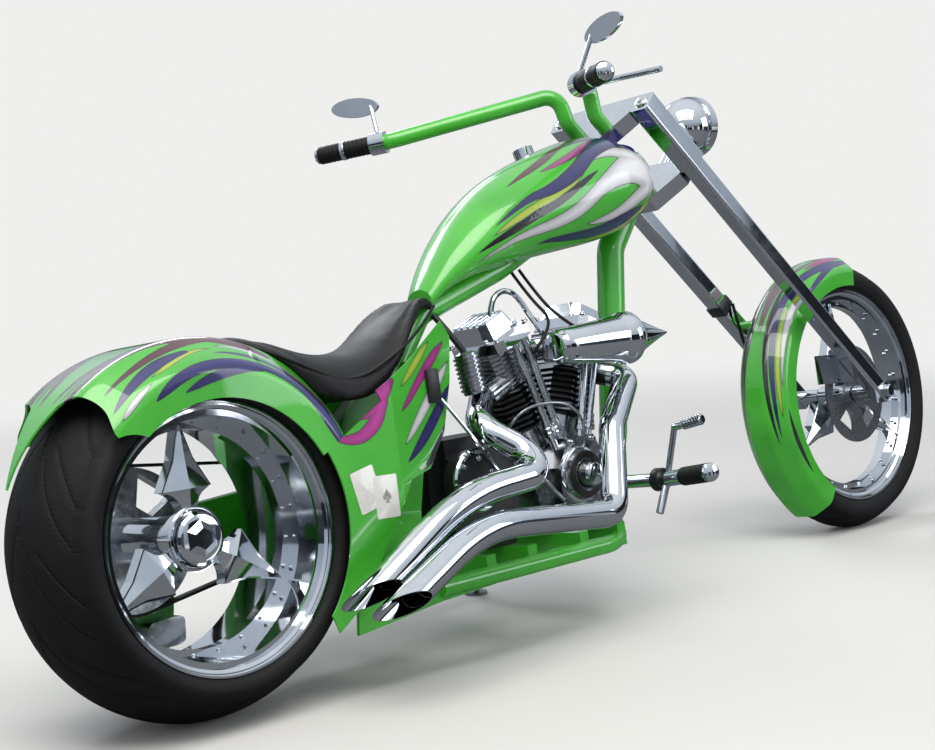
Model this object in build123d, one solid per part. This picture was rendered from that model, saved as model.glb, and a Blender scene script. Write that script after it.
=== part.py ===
from build123d import *
import os
from math import cos, radians, sin, sqrt, tan

os.makedirs("parts", exist_ok=True)

# Chopper motorcycle, in millimetres. Every piece is drawn on the upright machine, with X forward,
# Y to the left and Z up from the ground under the rear axle. The whole machine is then leant to
# the left onto its side stand, with the origin on the ground under the middle of its outline.

# Stance and fits
wheelbase = 2128.0
lean_deg = 6.6
rake_deg = 46.7
fit_gap = 0.3
shaft_gap = 0.05

# Rear wheel: radii are from the axle, widths are half of the full width
rear_tyre_radius = 331.0
rear_tyre_half_width = 146.0
rear_crown_radius = 190.0
rear_lip_radius = 245.0
rear_rim_half_width = 134.0
rear_seat_radius = 231.0
rear_barrel_inner = 219.0
rear_hoop_inner = 200.0
rear_spoke_plane = -34.0
rear_spoke_thickness = 26.0
rear_hub_radius = 52.0
rear_sleeve_radius = 44.0
rear_hub_end = 176.0
hub_cap_radius = 41.0
hub_cap_flange = 50.0

# Front wheel
front_tyre_radius = 356.5
front_tyre_half_width = 60.0
front_crown_radius = 66.0
front_lip_radius = 284.0
front_rim_half_width = 50.0
front_seat_radius = 267.0
front_barrel_inner = 257.0
front_hoop_inner = 240.0
front_spoke_plane = -12.0
front_spoke_thickness = 24.0
front_hub_radius = 40.0
front_sleeve_radius = 26.0
front_hub_end = 48.0

# Rim flanges: how far their top and foot lie inside the rim's edge, on both wheels
flange_top = 4.0
flange_foot = 12.0
bead_gap = 0.4

# Spear spokes, the same count on both wheels
spoke_count = 3
spoke_bite = 4.0

# Brake, pulleys and belt
disc_radius = 130.0
disc_width = 6.0
disc_gap = 5.5
pulley_radius = 140.0
pulley_width = 30.0
window_count = 5
front_pulley_x = 585.0
front_pulley_z = 345.0
front_pulley_radius = 62.0
belt_thickness = 6.0
belt_inset = 3.0

# Axles
rear_axle_radius = 17.0
front_axle_radius = 12.0
front_spacer_radius = 20.0

# Front end, in its own frame: z runs up the legs from the front axle and x runs forward of them
fork_half_spacing = 127.5
fork_leg_side = 43.0
fork_sleeve_side = 54.0
fork_foot = 22.0
fork_top = 1118.0
sleeve_bottom = 906.0
tree_offset = 70.0
tree_thickness = 40.0
tree_back = 26.0
tree_back_half_width = 36.0
clamp_sweep_radius = 54.0
clamp_sweep_gap = 5.0
stem_radius = 14.0
neck_radius = 34.0
neck_gap = 1.0

# Frame
backbone_radius = 25.0
downtube_radius = 32.0
rail_radius = 19.0
rail_half_spacing = 150.0
rail_height = 150.0
rail_front_x = 1010.0
rail_rear_x = 470.0
cross_member_length = 26.0
cradle_top = 190.0
pivot_x = 440.0
pivot_z = 325.0
pivot_radius = 24.0
pivot_plate_inner = 60.0
pivot_plate_thickness = 12.0
swingarm_face = 214.0
swingarm_thickness = 34.0

# Engine
crank_x = 964.0
crank_z = 300.0
cylinder_angle = 22.5
barrel_half = 56.0
fin_side = 146.0
fin_count = 8
fin_thickness = 5.0
fin_pitch = 13.0
barrel_bottom = 140.0
barrel_top = 246.0
head_top = 336.0
rocker_top = 398.0
head_length = 112.0
head_width = 134.0
port_radius = 28.0
rear_port = ((-20.0, -40.0, 262.0), (-80.0, -40.0, 262.0))
front_port = ((20.0, -20.0, 262.0), (58.0, -92.0, 254.0))
v_gap = 2.0
case_half_width = 70.0
cam_face = 120.0
cam_dome = 42.0
pushrod_y = -88.0
pushrod_radius = 9.0
primary_inner = 212.0
primary_outer = 276.0
offset_spacer_radius = 74.0
intake_z = 588.0
cleaner_y = -190.0
cleaner_radius = 58.0
cleaner_x = 845.0

# Exhaust
pipe_radius = 29.0
pipe_wall = 2.0
tail_bore_length = 90.0
tail_mouth_wall = 1.4
slash_length = 110.0
slash_tip = 2.0
seat_depth = 122.0
slash_side = (0.0, -0.8, -0.6)
port_bend = 34.0
pipe_bend = 58.0
tail_bend = 400.0

# Bodywork
fender_wall = 4.0
rear_fender_gap = 33.0
rear_fender_side_gap = 22.0
rear_skirt_radius = 247.0
fender_tail_turn = 67.0
fender_front_turn = 62.0
tail_view_angle = 143.0
tail_corner = -32.0
tail_apex = -88.0
tail_tip = 92.0
tail_notch = (-186.0, 116.0)
tail_notch_radius = 90.0
front_fender_gap = 15.5
front_fender_side_gap = 13.0
front_skirt_radius = 290.0
front_fender_start = -143.0
front_fender_turn = 150.0
fender_stay_height = 322.0
fender_stay_radius = 11.0
panel_wall = 4.0
tank_gap = 1.0

# Headlamp
lamp_drop = 6.0
lamp_reach = 176.0
lamp_stub_radius = 12.0
lamp_stub_bite = 30.0
lens_thickness = 10.0
lens_inset = 2.0
lamp_radius = 76.0
lamp_depth = 104.0
lens_radius = 68.0

# Handlebar
bar_radius = 18.5
grip_wall = 2.5
bar_post_y = 44.0
bar_knee = (wheelbase - 903.0, 50.0, 1178.0)
bar_elbow = (wheelbase - 1217.0, 292.0, 1118.0)
grip_end = (wheelbase - 1310.0, 453.0, 1112.0)
bar_post_behind = 62.0
bar_post_height = 42.0
control_start_share = 0.10
grip_start_share = 0.31
control_radius = 26.0
control_gap = 2.0
lever_radius = 6.5
lever_pivot = (6.0, 26.0, 1.0)
lever_bend = (37.0, 38.0, 2.0)
lever_tip = (43.0, 192.0, -5.0)
mirror_middle = (-9.0, 106.0, 97.0)
mirror_stem_top = (-2.0, 62.0, 93.0)
mirror_toe_deg = 14.0
mirror_half_length = 67.0
mirror_half_height = 23.0
mirror_thickness = 8.0
mirror_stem_radius = 5.0

# Side stand
stand_x = 905.0
stand_tilt_deg = 40.0
stand_lug_length = 31.0
stand_head_radius = 17.0
stand_head_width = 24.0
stand_leg_radius = 11.0
stand_foot_x = 985.0
stand_foot_y = 305.0
stand_foot_radius = 27.0
stand_foot_thickness = 6.0

lean = radians(lean_deg)
rake = radians(rake_deg)


def axle_height(radius, crown):
    """Height of an axle so that the leant tyre's crown just meets the ground."""
    return radius - crown + crown / cos(lean)


rear_axle_z = axle_height(rear_tyre_radius, rear_crown_radius)
front_axle_z = axle_height(front_tyre_radius, front_crown_radius)
origin_x = (wheelbase + front_tyre_radius - rear_tyre_radius) / 2
origin_y = grip_end[2] * sin(lean)
parked = Pos(-origin_x, -origin_y, 0) * Rot(-lean_deg, 0, 0)

rear_fender_radius = rear_tyre_radius + rear_fender_gap
rear_fender_half_width = rear_tyre_half_width + rear_fender_side_gap
front_fender_radius = front_tyre_radius + front_fender_gap
front_fender_half_width = front_tyre_half_width + front_fender_side_gap
lamp_height = sleeve_bottom - tree_thickness / 2 - lamp_drop

front_end = Plane(
    origin=(wheelbase, 0, front_axle_z),
    x_dir=(cos(rake), 0, sin(rake)),
    z_dir=(-sin(rake), 0, cos(rake)),
)


# Helpers


def at_front(shape):
    """Place a shape that is drawn in the front end's own frame."""
    return front_end.location * shape


def front_point(x, y, z):
    """A point of the front end's own frame on the upright machine."""
    v = front_end.from_local_coords(Vector(x, y, z))
    return (v.X, v.Y, v.Z)


def other_side(point, side):
    """The same point on the left, where side is 1, or on the right, where it is -1."""
    return (point[0], side * point[1], point[2])


def save(name, shape):
    """Park a finished piece with the machine and write it."""
    export_step(parked * shape, f"parts/{name}.step")


def largest(shape):
    """The biggest solid of a shape that a cut has left in several pieces."""
    return max(shape.solids(), key=lambda piece: piece.volume)


def fused(shapes):
    """One body of several shapes that overlap or touch."""
    body = shapes[0]
    for shape in shapes[1:]:
        body += shape
    return body


def rod(start, end, radius, bore=0.0):
    """A round bar, or a tube where a bore is given, from one point to another."""
    a = Vector(*start)
    b = Vector(*end)
    section = Circle(radius) - Circle(bore) if bore else Circle(radius)
    return extrude(Plane(origin=a, z_dir=b - a) * section, (b - a).length)


def pipe(points, radii, radius):
    """A bent bar through the given corners, each rounded by its own radius."""
    path = FilletPolyline(*[Vector(*p) for p in points], radius=radii)
    return sweep(Plane(origin=path @ 0, z_dir=path % 0) * Circle(radius), path=path)


def block(low, high):
    """A box between two opposite corners."""
    size = [b - a for a, b in zip(low, high)]
    middle = [(a + b) / 2 for a, b in zip(low, high)]
    return Pos(*middle) * Box(*size)


def side_plate(points, y_low, y_high, rounding=0.0):
    """A plate cut to a side outline given as (x, z) points, between two widths."""
    outline = make_face(Polyline(*points, close=True))
    if rounding:
        outline = fillet(outline.vertices(), rounding)
    plane = Plane(origin=(0, y_high, 0), x_dir=(1, 0, 0), z_dir=(0, -1, 0))
    return extrude(plane * outline, y_high - y_low)


def turned(section, x, z, angle=360.0, start=0.0):
    """Revolve a (y, r) section about an axle, starting at an angle forward of the top."""
    face = Plane(origin=(x, 0, z), x_dir=(0, 1, 0), z_dir=(1, 0, 0)) * section
    axis = Axis((x, 0, z), (0, 1, 0))
    return revolve(face.rotate(axis, start), axis, angle)


def wheel_face(x, y, z, side):
    """A plane square to an axle at a width y, looking to the left, side 1, or to the right, -1."""
    return Plane(origin=(x, y, z), x_dir=(1, 0, 0), z_dir=(0, side, 0))


# Wheels


def tyre(radius, half_width, crown, seat_radius, lip_radius, rim_half_width):
    """A tyre section of one crown arc and two sidewall arcs, as (y, r)."""
    shoulder_y = half_width * 0.80
    shoulder_r = radius - crown + sqrt(crown**2 - shoulder_y**2)
    bulge_r = (shoulder_r + lip_radius) / 2
    bead_y = rim_half_width - flange_top - bead_gap
    seat_y = rim_half_width - flange_foot - bead_gap
    seat_r = seat_radius + fit_gap
    edges = [ThreePointArc((-shoulder_y, shoulder_r), (0, radius), (shoulder_y, shoulder_r))]
    for side in (-1, 1):
        shoulder = (side * shoulder_y, shoulder_r)
        bead = (side * bead_y, lip_radius)
        edges += [ThreePointArc(shoulder, (side * half_width, bulge_r), bead)]
        edges += [Line(bead, (side * seat_y, seat_r))]
    edges += [Line((-seat_y, seat_r), (seat_y, seat_r))]
    return make_face(edges)


def rim_section(lip_radius, seat_radius, inner_radius, half_width, step_out, step_in):
    """Section of a dished rim with three polished steps on each side, as (y, r)."""
    points = [(0, seat_radius), (half_width - flange_foot, seat_radius)]
    points += [(half_width - flange_top, lip_radius), (half_width, lip_radius)]
    r = lip_radius
    y = half_width
    for _ in range(3):
        points += [(y, r - step_in), (y - step_out, r - step_in)]
        r -= step_in
        y -= step_out
    points += [(y, inner_radius), (0, inner_radius)]
    left = [(-y, r) for y, r in reversed(points)]
    return make_face(Polyline(*points, *left[1:-1], close=True))


def spear(tip_r, barb_r, barb_w, neck_r, neck_w):
    """Outline of one spear-shaped spoke, pointing up from the hub."""
    edges = []
    for side in (-1, 1):
        edge_mid = (side * barb_w * 0.42, barb_r + (tip_r - barb_r) * 0.42)
        barb = (side * barb_w, barb_r)
        hollow = (side * (barb_w + neck_w) * 0.42, barb_r - (barb_r - neck_r) * 0.28)
        edges += [Line((0, tip_r), edge_mid), Line(edge_mid, barb)]
        edges += [ThreePointArc(barb, hollow, (side * neck_w, neck_r))]
    edges += [Line((-neck_w, neck_r), (neck_w, neck_r))]
    return make_face(edges)


def spoked_wheel(face, rim, hoop_inner, hoop_outer, thickness, spoke, hub_radius):
    """A rim with its spoke hoop, its spears and the hub disc, as one machined wheel."""
    centre = extrude(face * (Circle(hoop_outer) - Circle(hoop_inner)), thickness)
    for n in range(spoke_count):
        centre += extrude(face * (Rot(0, 0, n * 360 / spoke_count) * spoke), thickness)
    centre += extrude(face * Circle(hub_radius), thickness)
    return rim + centre


def rear_wheel():
    """Rear tyre, rim with its spears, and the domed hub cap on the right."""
    section = tyre(
        rear_tyre_radius, rear_tyre_half_width, rear_crown_radius,
        rear_seat_radius, rear_lip_radius, rear_rim_half_width,
    )
    save("rear_tyre", turned(section, 0, rear_axle_z))
    rim = rim_section(
        rear_lip_radius, rear_seat_radius, rear_barrel_inner, rear_rim_half_width, 7, 4
    )
    spoke = spear(rear_barrel_inner + spoke_bite, 92, 54, 46, 14)
    face = wheel_face(0, rear_spoke_plane + rear_spoke_thickness, rear_axle_z, -1)
    body = spoked_wheel(
        face, turned(rim, 0, rear_axle_z), rear_hoop_inner, rear_barrel_inner + spoke_bite,
        rear_spoke_thickness, spoke, rear_hub_radius,
    )
    inner = (0, rear_spoke_plane, rear_axle_z)
    outer = (0, rear_hub_end, rear_axle_z)
    body += rod(inner, outer, rear_sleeve_radius)
    body -= rod(inner, outer, rear_axle_radius + shaft_gap)
    save("rear_rim", body)
    cap_face = wheel_face(0, rear_spoke_plane, rear_axle_z, -1)
    cap = extrude(cap_face * Circle(hub_cap_flange), 10)
    cap += extrude(cap_face * Circle(hub_cap_radius), 26, taper=14)
    cap -= rod((0, 0, rear_axle_z), (0, rear_spoke_plane - 14, rear_axle_z), rear_axle_radius + 1)
    save("rear_hub_cap", cap)


def window(inner_r, outer_r, inner_w, outer_w):
    """A tapered window in a disc or a pulley, above its middle."""
    return make_face(Polyline(
        (-inner_w, inner_r), (inner_w, inner_r), (outer_w, outer_r), (-outer_w, outer_r), close=True
    ))


def pierced_disc(face, radius, bore, width, opening):
    """A round plate with a bore and a ring of windows."""
    plate = extrude(face * (Circle(radius) - Circle(bore)), width)
    for n in range(window_count):
        plate -= extrude(face * (Rot(0, 0, n * 360 / window_count) * opening), width)
    return plate


def rear_pulley():
    """Drive pulley with windows, bolted to the wheel's left side."""
    face = wheel_face(0, rear_hub_end, rear_axle_z, 1)
    opening = window(62, pulley_radius - 18, 20, 46)
    body = pierced_disc(
        face, pulley_radius, rear_axle_radius + shaft_gap, pulley_width, opening
    )
    save("rear_pulley", body)


def belt_outline(extra):
    """Outline round both pulleys, at a distance outside the belt's inner face."""
    rear = Pos(0, rear_axle_z) * Circle(pulley_radius + fit_gap + extra)
    front = Pos(front_pulley_x, front_pulley_z) * Circle(front_pulley_radius + fit_gap + extra)
    return make_hull([*rear.edges(), *front.edges()])


def drive_belt():
    """Flat belt round both pulleys, as its own closed loop."""
    plane = Plane(
        origin=(0, rear_hub_end + pulley_width - belt_inset, 0), x_dir=(1, 0, 0), z_dir=(0, -1, 0)
    )
    loop = belt_outline(belt_thickness) - belt_outline(0)
    save("drive_belt", extrude(plane * loop, pulley_width - 2 * belt_inset))


def front_wheel():
    """Front tyre, rim with its spears, and the brake disc on the right."""
    section = tyre(
        front_tyre_radius, front_tyre_half_width, front_crown_radius,
        front_seat_radius, front_lip_radius, front_rim_half_width,
    )
    save("front_tyre", turned(section, wheelbase, front_axle_z))
    rim = rim_section(
        front_lip_radius, front_seat_radius, front_barrel_inner, front_rim_half_width, 6, 5
    )
    spoke = spear(front_barrel_inner + spoke_bite, 100, 52, 34, 12)
    face = wheel_face(wheelbase, front_spoke_plane + front_spoke_thickness, front_axle_z, -1)
    body = spoked_wheel(
        face, turned(rim, wheelbase, front_axle_z), front_hoop_inner,
        front_barrel_inner + spoke_bite, front_spoke_thickness, spoke, front_hub_radius,
    )
    right = (wheelbase, -front_hub_end, front_axle_z)
    left = (wheelbase, front_hub_end, front_axle_z)
    body += rod(right, left, front_sleeve_radius)
    body -= rod(right, left, front_axle_radius + shaft_gap)
    save("front_rim", body)
    disc = pierced_disc(
        wheel_face(wheelbase, -front_hub_end, front_axle_z, -1), disc_radius,
        front_axle_radius + shaft_gap, disc_width, window(48, 100, 14, 32),
    )
    save("front_brake_disc", disc)


def axles():
    """Both axles, each carried at its ends by the fork or the swingarm."""
    reach = fork_half_spacing - fork_leg_side / 2
    inner = front_hub_end + disc_width + 3
    front = rod(
        (wheelbase, -reach, front_axle_z), (wheelbase, reach, front_axle_z), front_axle_radius
    )
    for side in (-1, 1):
        front += rod(
            (wheelbase, side * inner, front_axle_z), (wheelbase, side * reach, front_axle_z),
            front_spacer_radius,
        )
    save("front_axle", front)
    rear = rod(
        (0, rear_spoke_plane - 12, rear_axle_z), (0, swingarm_face, rear_axle_z), rear_axle_radius
    )
    save("rear_axle", rear)


# Front end


def rounded_bar(side_length, rounding, z_low, z_high, y):
    """A rounded square bar standing along the front end's own z."""
    section = fillet(Rectangle(side_length, side_length).vertices(), rounding)
    return extrude(Pos(0, y, z_low) * section, z_high - z_low)


def fork_legs():
    """Two rounded square legs with thicker sleeves where the clamps hold them."""
    legs = []
    for side in (-1, 1):
        y = side * fork_half_spacing
        leg = rounded_bar(fork_leg_side, 7, -fork_foot, sleeve_bottom, y)
        legs.append(at_front(leg + rounded_bar(fork_sleeve_side, 8, sleeve_bottom, fork_top, y)))
    save("fork_legs", Compound(children=legs))


def clamp(z_low):
    """A clamp plate across both legs and back to the steering stem."""
    inner = fork_half_spacing - fork_sleeve_side / 2 - fit_gap
    front = fork_sleeve_side / 2
    back = tree_offset + tree_back
    outline = [(front, -inner), (front, inner), (-front, inner)]
    outline += [(-back, tree_back_half_width), (-back, -tree_back_half_width), (-front, -inner)]
    return extrude(Pos(0, 0, z_low) * make_face(Polyline(*outline, close=True)), tree_thickness)


def clamps():
    """Upper and lower clamps, with the stem between them turning in the neck."""
    top_low = fork_top - tree_thickness
    stem = Pos(-tree_offset, 0, (sleeve_bottom + top_low) / 2) * Cylinder(
        stem_radius, top_low - sleeve_bottom
    )
    save("lower_clamp_and_stem", at_front(clamp(sleeve_bottom - tree_thickness) + stem))
    save("upper_clamp", at_front(clamp(top_low)))


def along_bar(share, short_of=0.0):
    """A point on the straight end of the left bar, at a share of its length less a distance."""
    elbow = Vector(*bar_elbow)
    run = Vector(*grip_end) - elbow
    point = elbow + run.normalized() * (run.length * share - short_of)
    return (point.X, point.Y, point.Z)


def by_elbow(offset, side):
    """A point at an offset from the bar's elbow, outwards on the given side."""
    x, y, z = (a + b for a, b in zip(bar_elbow, offset))
    return (x, side * y, z)


def handlebar():
    """Pull-back bar: a post from the clamp on each side, bent out and back to the grips."""
    halves = []
    foot = front_point(-bar_post_behind, bar_post_y, fork_top)
    riser = front_point(-bar_post_behind, bar_post_y, fork_top + bar_post_height)
    for side in (-1, 1):
        points = [other_side(p, side) for p in (foot, riser, bar_knee, bar_elbow, grip_end)]
        halves.append(pipe(points, [30, 40, 60], bar_radius))
    save("handlebar", Compound(children=halves))


def grips():
    """Rubber grips over the bar's ends."""
    made = []
    start = along_bar(grip_start_share)
    for side in (-1, 1):
        made.append(rod(
            other_side(start, side), other_side(grip_end, side),
            bar_radius + grip_wall, bar_radius + fit_gap,
        ))
    save("grips", Compound(children=made))


def hand_controls():
    """Switch housings inside the grips, and the brake lever on the right one."""
    made = []
    start = along_bar(control_start_share)
    end = along_bar(grip_start_share, control_gap)
    for side in (-1, 1):
        made.append(rod(
            other_side(start, side), other_side(end, side), control_radius, bar_radius + fit_gap
        ))
    route = [by_elbow(offset, -1) for offset in (lever_pivot, lever_bend, lever_tip)]
    lever = pipe(route, 14, lever_radius)
    bore = rod(other_side(bar_elbow, -1), other_side(grip_end, -1), bar_radius + fit_gap)
    made[0] = largest(made[0] + lever - bore)
    save("hand_controls", Compound(children=made))


def mirrors():
    """Leaf-shaped mirrors on stems that stand on the switch housings."""
    made = []
    for side in (-1, 1):
        toe = radians(mirror_toe_deg)
        face = Plane(
            origin=by_elbow(mirror_middle, side), x_dir=(-sin(toe), side * cos(toe), 0.12),
            z_dir=(-cos(toe), -side * sin(toe), 0),
        )
        leaf = extrude(face * Ellipse(mirror_half_length, mirror_half_height), mirror_thickness)
        foot = along_bar(0.2)
        stem = rod(
            (foot[0], side * foot[1], foot[2] + control_radius - 1),
            by_elbow(mirror_stem_top, side), mirror_stem_radius,
        )
        housing = rod(
            other_side(along_bar(0), side), other_side(along_bar(0.5), side), control_radius
        )
        made.append(largest(leaf + stem - housing))
    save("mirrors", Compound(children=made))


def headlamp():
    """Domed lamp shell on a stub from the lower clamp, with its bezel and lens."""
    x, _, z = front_point(lamp_reach, 0, lamp_height)
    back = x - lamp_depth / 2
    front = x + lamp_depth / 2
    plane = Plane(origin=(0, 0, z), x_dir=(1, 0, 0), z_dir=(0, -1, 0))
    dome = make_face([
        Line((back, 0), (front, 0)), Line((front, 0), (front, lamp_radius)),
        Line((front, lamp_radius), (front - 24, lamp_radius)),
        Line((front - 24, lamp_radius), (front - 24, lamp_radius - 5)),
        ThreePointArc((front - 24, lamp_radius - 5), (back + 20, lamp_radius * 0.66), (back, 0)),
    ])
    shell = revolve(plane * dome, Axis((0, 0, z), (1, 0, 0)))
    shell += rod(
        front_point(fork_sleeve_side / 2, 0, lamp_height),
        front_point(lamp_reach - lamp_stub_bite, 0, lamp_height), lamp_stub_radius,
    )
    lens_face = front - lens_inset
    seat_face = lens_face - lens_thickness
    recess = rod((seat_face, 0, z), (front, 0, z), lens_radius + fit_gap)
    save("headlamp_shell", shell - recess)
    save("headlamp_lens", rod((seat_face, 0, z), (lens_face, 0, z), lens_radius))


def fender_section(half_width, skirt_r, shoulder_r, flat_half_width, top_r, rounding):
    """A thin fender's section as (y, r): upright skirts, rounded shoulders and a flat crown."""
    points = [(-half_width, skirt_r), (-half_width, shoulder_r), (-flat_half_width, top_r)]
    points += [(flat_half_width, top_r), (half_width, shoulder_r), (half_width, skirt_r)]
    outline = make_face(Polyline(*points, close=True))
    outer = fillet(outline.vertices().sort_by(Axis.Y)[-4:], rounding)
    inner = offset(outer, -fender_wall)
    mouth = Pos(0, skirt_r) * Rectangle(2 * (half_width - fender_wall), 20)
    return outer, outer - inner - mouth


def front_fender():
    """Fender that wraps the rear of the front tyre, with a stay to each fork leg."""
    _, section = fender_section(
        front_fender_half_width, front_skirt_radius, 335, 30, front_fender_radius, 26
    )
    body = turned(section, wheelbase, front_axle_z, front_fender_turn, front_fender_start)
    reach = fork_half_spacing - fork_leg_side / 2
    for side in (-1, 1):
        body += rod(
            front_point(0, side * (front_fender_half_width - 2), fender_stay_height),
            front_point(0, side * reach, fender_stay_height), fender_stay_radius,
        )
    save("front_fender", body)


def front_caliper():
    """Brake caliper over the front disc, on the inner face of the right leg."""
    outer = -(fork_half_spacing - fork_leg_side / 2)
    body = block((1996, outer, 396), (2056, -front_hub_end + 16, 472))
    slot_start = -front_hub_end + disc_gap
    slot_end = -front_hub_end - disc_width - disc_gap
    body -= rod(
        (wheelbase, slot_start, front_axle_z), (wheelbase, slot_end, front_axle_z),
        disc_radius + disc_gap,
    )
    save("front_brake_caliper", largest(body))


# Frame


def neck_post(radius):
    """A long bar on the steering axis, used to shape what surrounds the neck."""
    return rod(
        front_point(-tree_offset, 0, sleeve_bottom - 200),
        front_point(-tree_offset, 0, fork_top + 200), radius,
    )


def backbone(radius):
    """Top tube from the neck back and down to the seat."""
    route = [front_point(-tree_offset, 0, 985), (900, 0, 775), (650, 0, 695), (540, 0, 560)]
    return pipe(route, [300, 60], radius)


def front_tube(radius):
    """Large tube from the neck down in front of the engine."""
    route = [front_point(-tree_offset, 0, 930), (1282, 0, 800), (1205, 0, 372), (1120, 0, 170)]
    return pipe(route, [60, 120], radius)


def swingarm_pivot(radius, start=-pivot_plate_inner - pivot_plate_thickness, end=swingarm_face):
    """The cross tube that the swingarm turns on."""
    return rod((pivot_x, start, pivot_z), (pivot_x, end, pivot_z), radius)


def frame_pieces():
    """Neck, top tube and front tube, each welded to the next."""
    low = sleeve_bottom + neck_gap
    high = fork_top - tree_thickness - neck_gap
    tube = Circle(neck_radius) - Circle(stem_radius + shaft_gap)
    save("frame_neck", at_front(extrude(Pos(-tree_offset, 0, low) * tube, high - low)))
    clear = neck_post(neck_radius)
    top = largest(backbone(backbone_radius) - clear)
    save("frame_backbone", top)
    sweep_low = sleeve_bottom - tree_thickness - clamp_sweep_gap
    clamp_room = rod(
        front_point(-tree_offset, 0, sweep_low), front_point(-tree_offset, 0, low),
        clamp_sweep_radius,
    )
    save("frame_front_tube", largest(front_tube(downtube_radius) - clear - top - clamp_room))


def cradle():
    """Two lower rails with cross members, wedge-shaped tails and the swingarm's plates."""
    shapes = []
    for side in (-1, 1):
        y = side * rail_half_spacing
        points = [(1140, side * 20, 200), (rail_front_x, y, rail_height), (rail_rear_x, y, rail_height)]
        shapes.append(pipe(points, [110], rail_radius))
        low = rail_height - rail_radius
        tail = [(620, low), (620, rail_height), (330, 200), (262, 158), (254, 103), (470, low - 6)]
        shapes.append(side_plate(tail, y - 4, y + 4))
        inner = side * pivot_plate_inner
        outer = side * (pivot_plate_inner + pivot_plate_thickness)
        plate = [(405, 140), (500, 140), (520, 300), (590, 560), (530, 600), (400, 380)]
        shapes.append(side_plate(plate, min(inner, outer), max(inner, outer)))
    for x in (430, 620, 740, 900, 1020):
        shapes.append(block(
            (x - cross_member_length / 2, -rail_half_spacing, rail_height - 10),
            (x + cross_member_length / 2, rail_half_spacing, cradle_top),
        ))
    shapes.append(rod(stand_point(0), stand_point(stand_lug_length), stand_head_radius))
    body = fused(shapes) - front_tube(downtube_radius) - backbone(backbone_radius)
    save("frame_lower_rails", largest(body - swingarm_pivot(pivot_radius + shaft_gap)))


def swingarm():
    """Single-sided arm on the left that carries the rear axle, on its cross tube."""
    outline = [
        (44, 366), (-40, 372), (-58, 320), (-40, 150), (-10, 108), (80, 108), (96, 180), (110, 262),
        (420, 266), (470, 290), (470, 366), (420, 392),
    ]
    arm = side_plate(outline, swingarm_face, swingarm_face + swingarm_thickness, 14)
    save("swingarm", arm + swingarm_pivot(pivot_radius))


def rear_caliper():
    """Rear brake caliper below the pulley, on the swingarm's inner face."""
    body = side_plate([(0, 120), (74, 120), (80, 176), (-4, 172)], 152, swingarm_face, 12)
    save("rear_brake_caliper", body)


def stand_point(distance):
    """A point on the prop stand's tilted hinge, at a distance out from the left rail's middle."""
    tilt = radians(stand_tilt_deg)
    return (
        stand_x, rail_half_spacing + distance * cos(tilt), rail_height + distance * sin(tilt)
    )


def side_stand():
    """Prop stand on the left: a head beside the rail's lug, a leg, and a foot flat on the ground."""
    inner = stand_lug_length + fit_gap
    head = rod(stand_point(inner), stand_point(inner + stand_head_width), stand_head_radius)
    up = Vector(0, -sin(lean), cos(lean))
    low = Vector(stand_foot_x, stand_foot_y, stand_foot_y * tan(lean))
    high = low + up * stand_foot_thickness
    leg = rod(stand_point(inner + stand_head_width / 2), (high.X, high.Y, high.Z), stand_leg_radius)
    below = extrude(Plane(origin=low, z_dir=-up) * Circle(2 * stand_foot_radius), 60)
    foot = extrude(Plane(origin=low, z_dir=up) * Circle(stand_foot_radius), stand_foot_thickness)
    save("side_stand", head + leg - below + foot)


# Bodywork


def rear_crown(gap=0.0):
    """Solid outer section of the rear fender, as (y, r), grown by a gap."""
    outer, _ = fender_section(
        rear_fender_half_width + gap, rear_skirt_radius, rear_fender_radius - 56 + gap,
        92, rear_fender_radius + gap, 34,
    )
    return outer


def rear_fender():
    """Wide fender over the rear tyre, with a three-pointed tail and skirts down to the rim."""
    _, section = fender_section(
        rear_fender_half_width, rear_skirt_radius, rear_fender_radius - 56, 92, rear_fender_radius, 34
    )
    body = turned(
        section, 0, rear_axle_z, fender_front_turn + fender_tail_turn, -fender_tail_turn
    )
    tail = radians(tail_view_angle)
    view = Plane(origin=(0, 0, rear_axle_z), x_dir=(0, 1, 0), z_dir=(cos(tail), 0, sin(tail)))
    for side in (-1, 1):
        corner = (side * (rear_fender_half_width + 2), tail_corner)
        inner_end = (side * 46, tail_apex + 18)
        tip = (side * 0.5, tail_tip)
        far = side * 260
        scallop = make_face([
            ThreePointArc(corner, (side * 108, tail_apex), inner_end),
            ThreePointArc(inner_end, (side * 20, (tail_apex + tail_tip) / 2), tip),
            Line(tip, (side * 0.5, 300)), Line((side * 0.5, 300), (far, 300)),
            Line((far, 300), (far, tail_corner)), Line((far, tail_corner), corner),
        ])
        body -= extrude(view * scallop, 500)
    x, z = tail_notch
    notch = rod((x, -200, rear_axle_z + z), (x, 200, rear_axle_z + z), tail_notch_radius)
    save("rear_fender", largest(body - notch))


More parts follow.
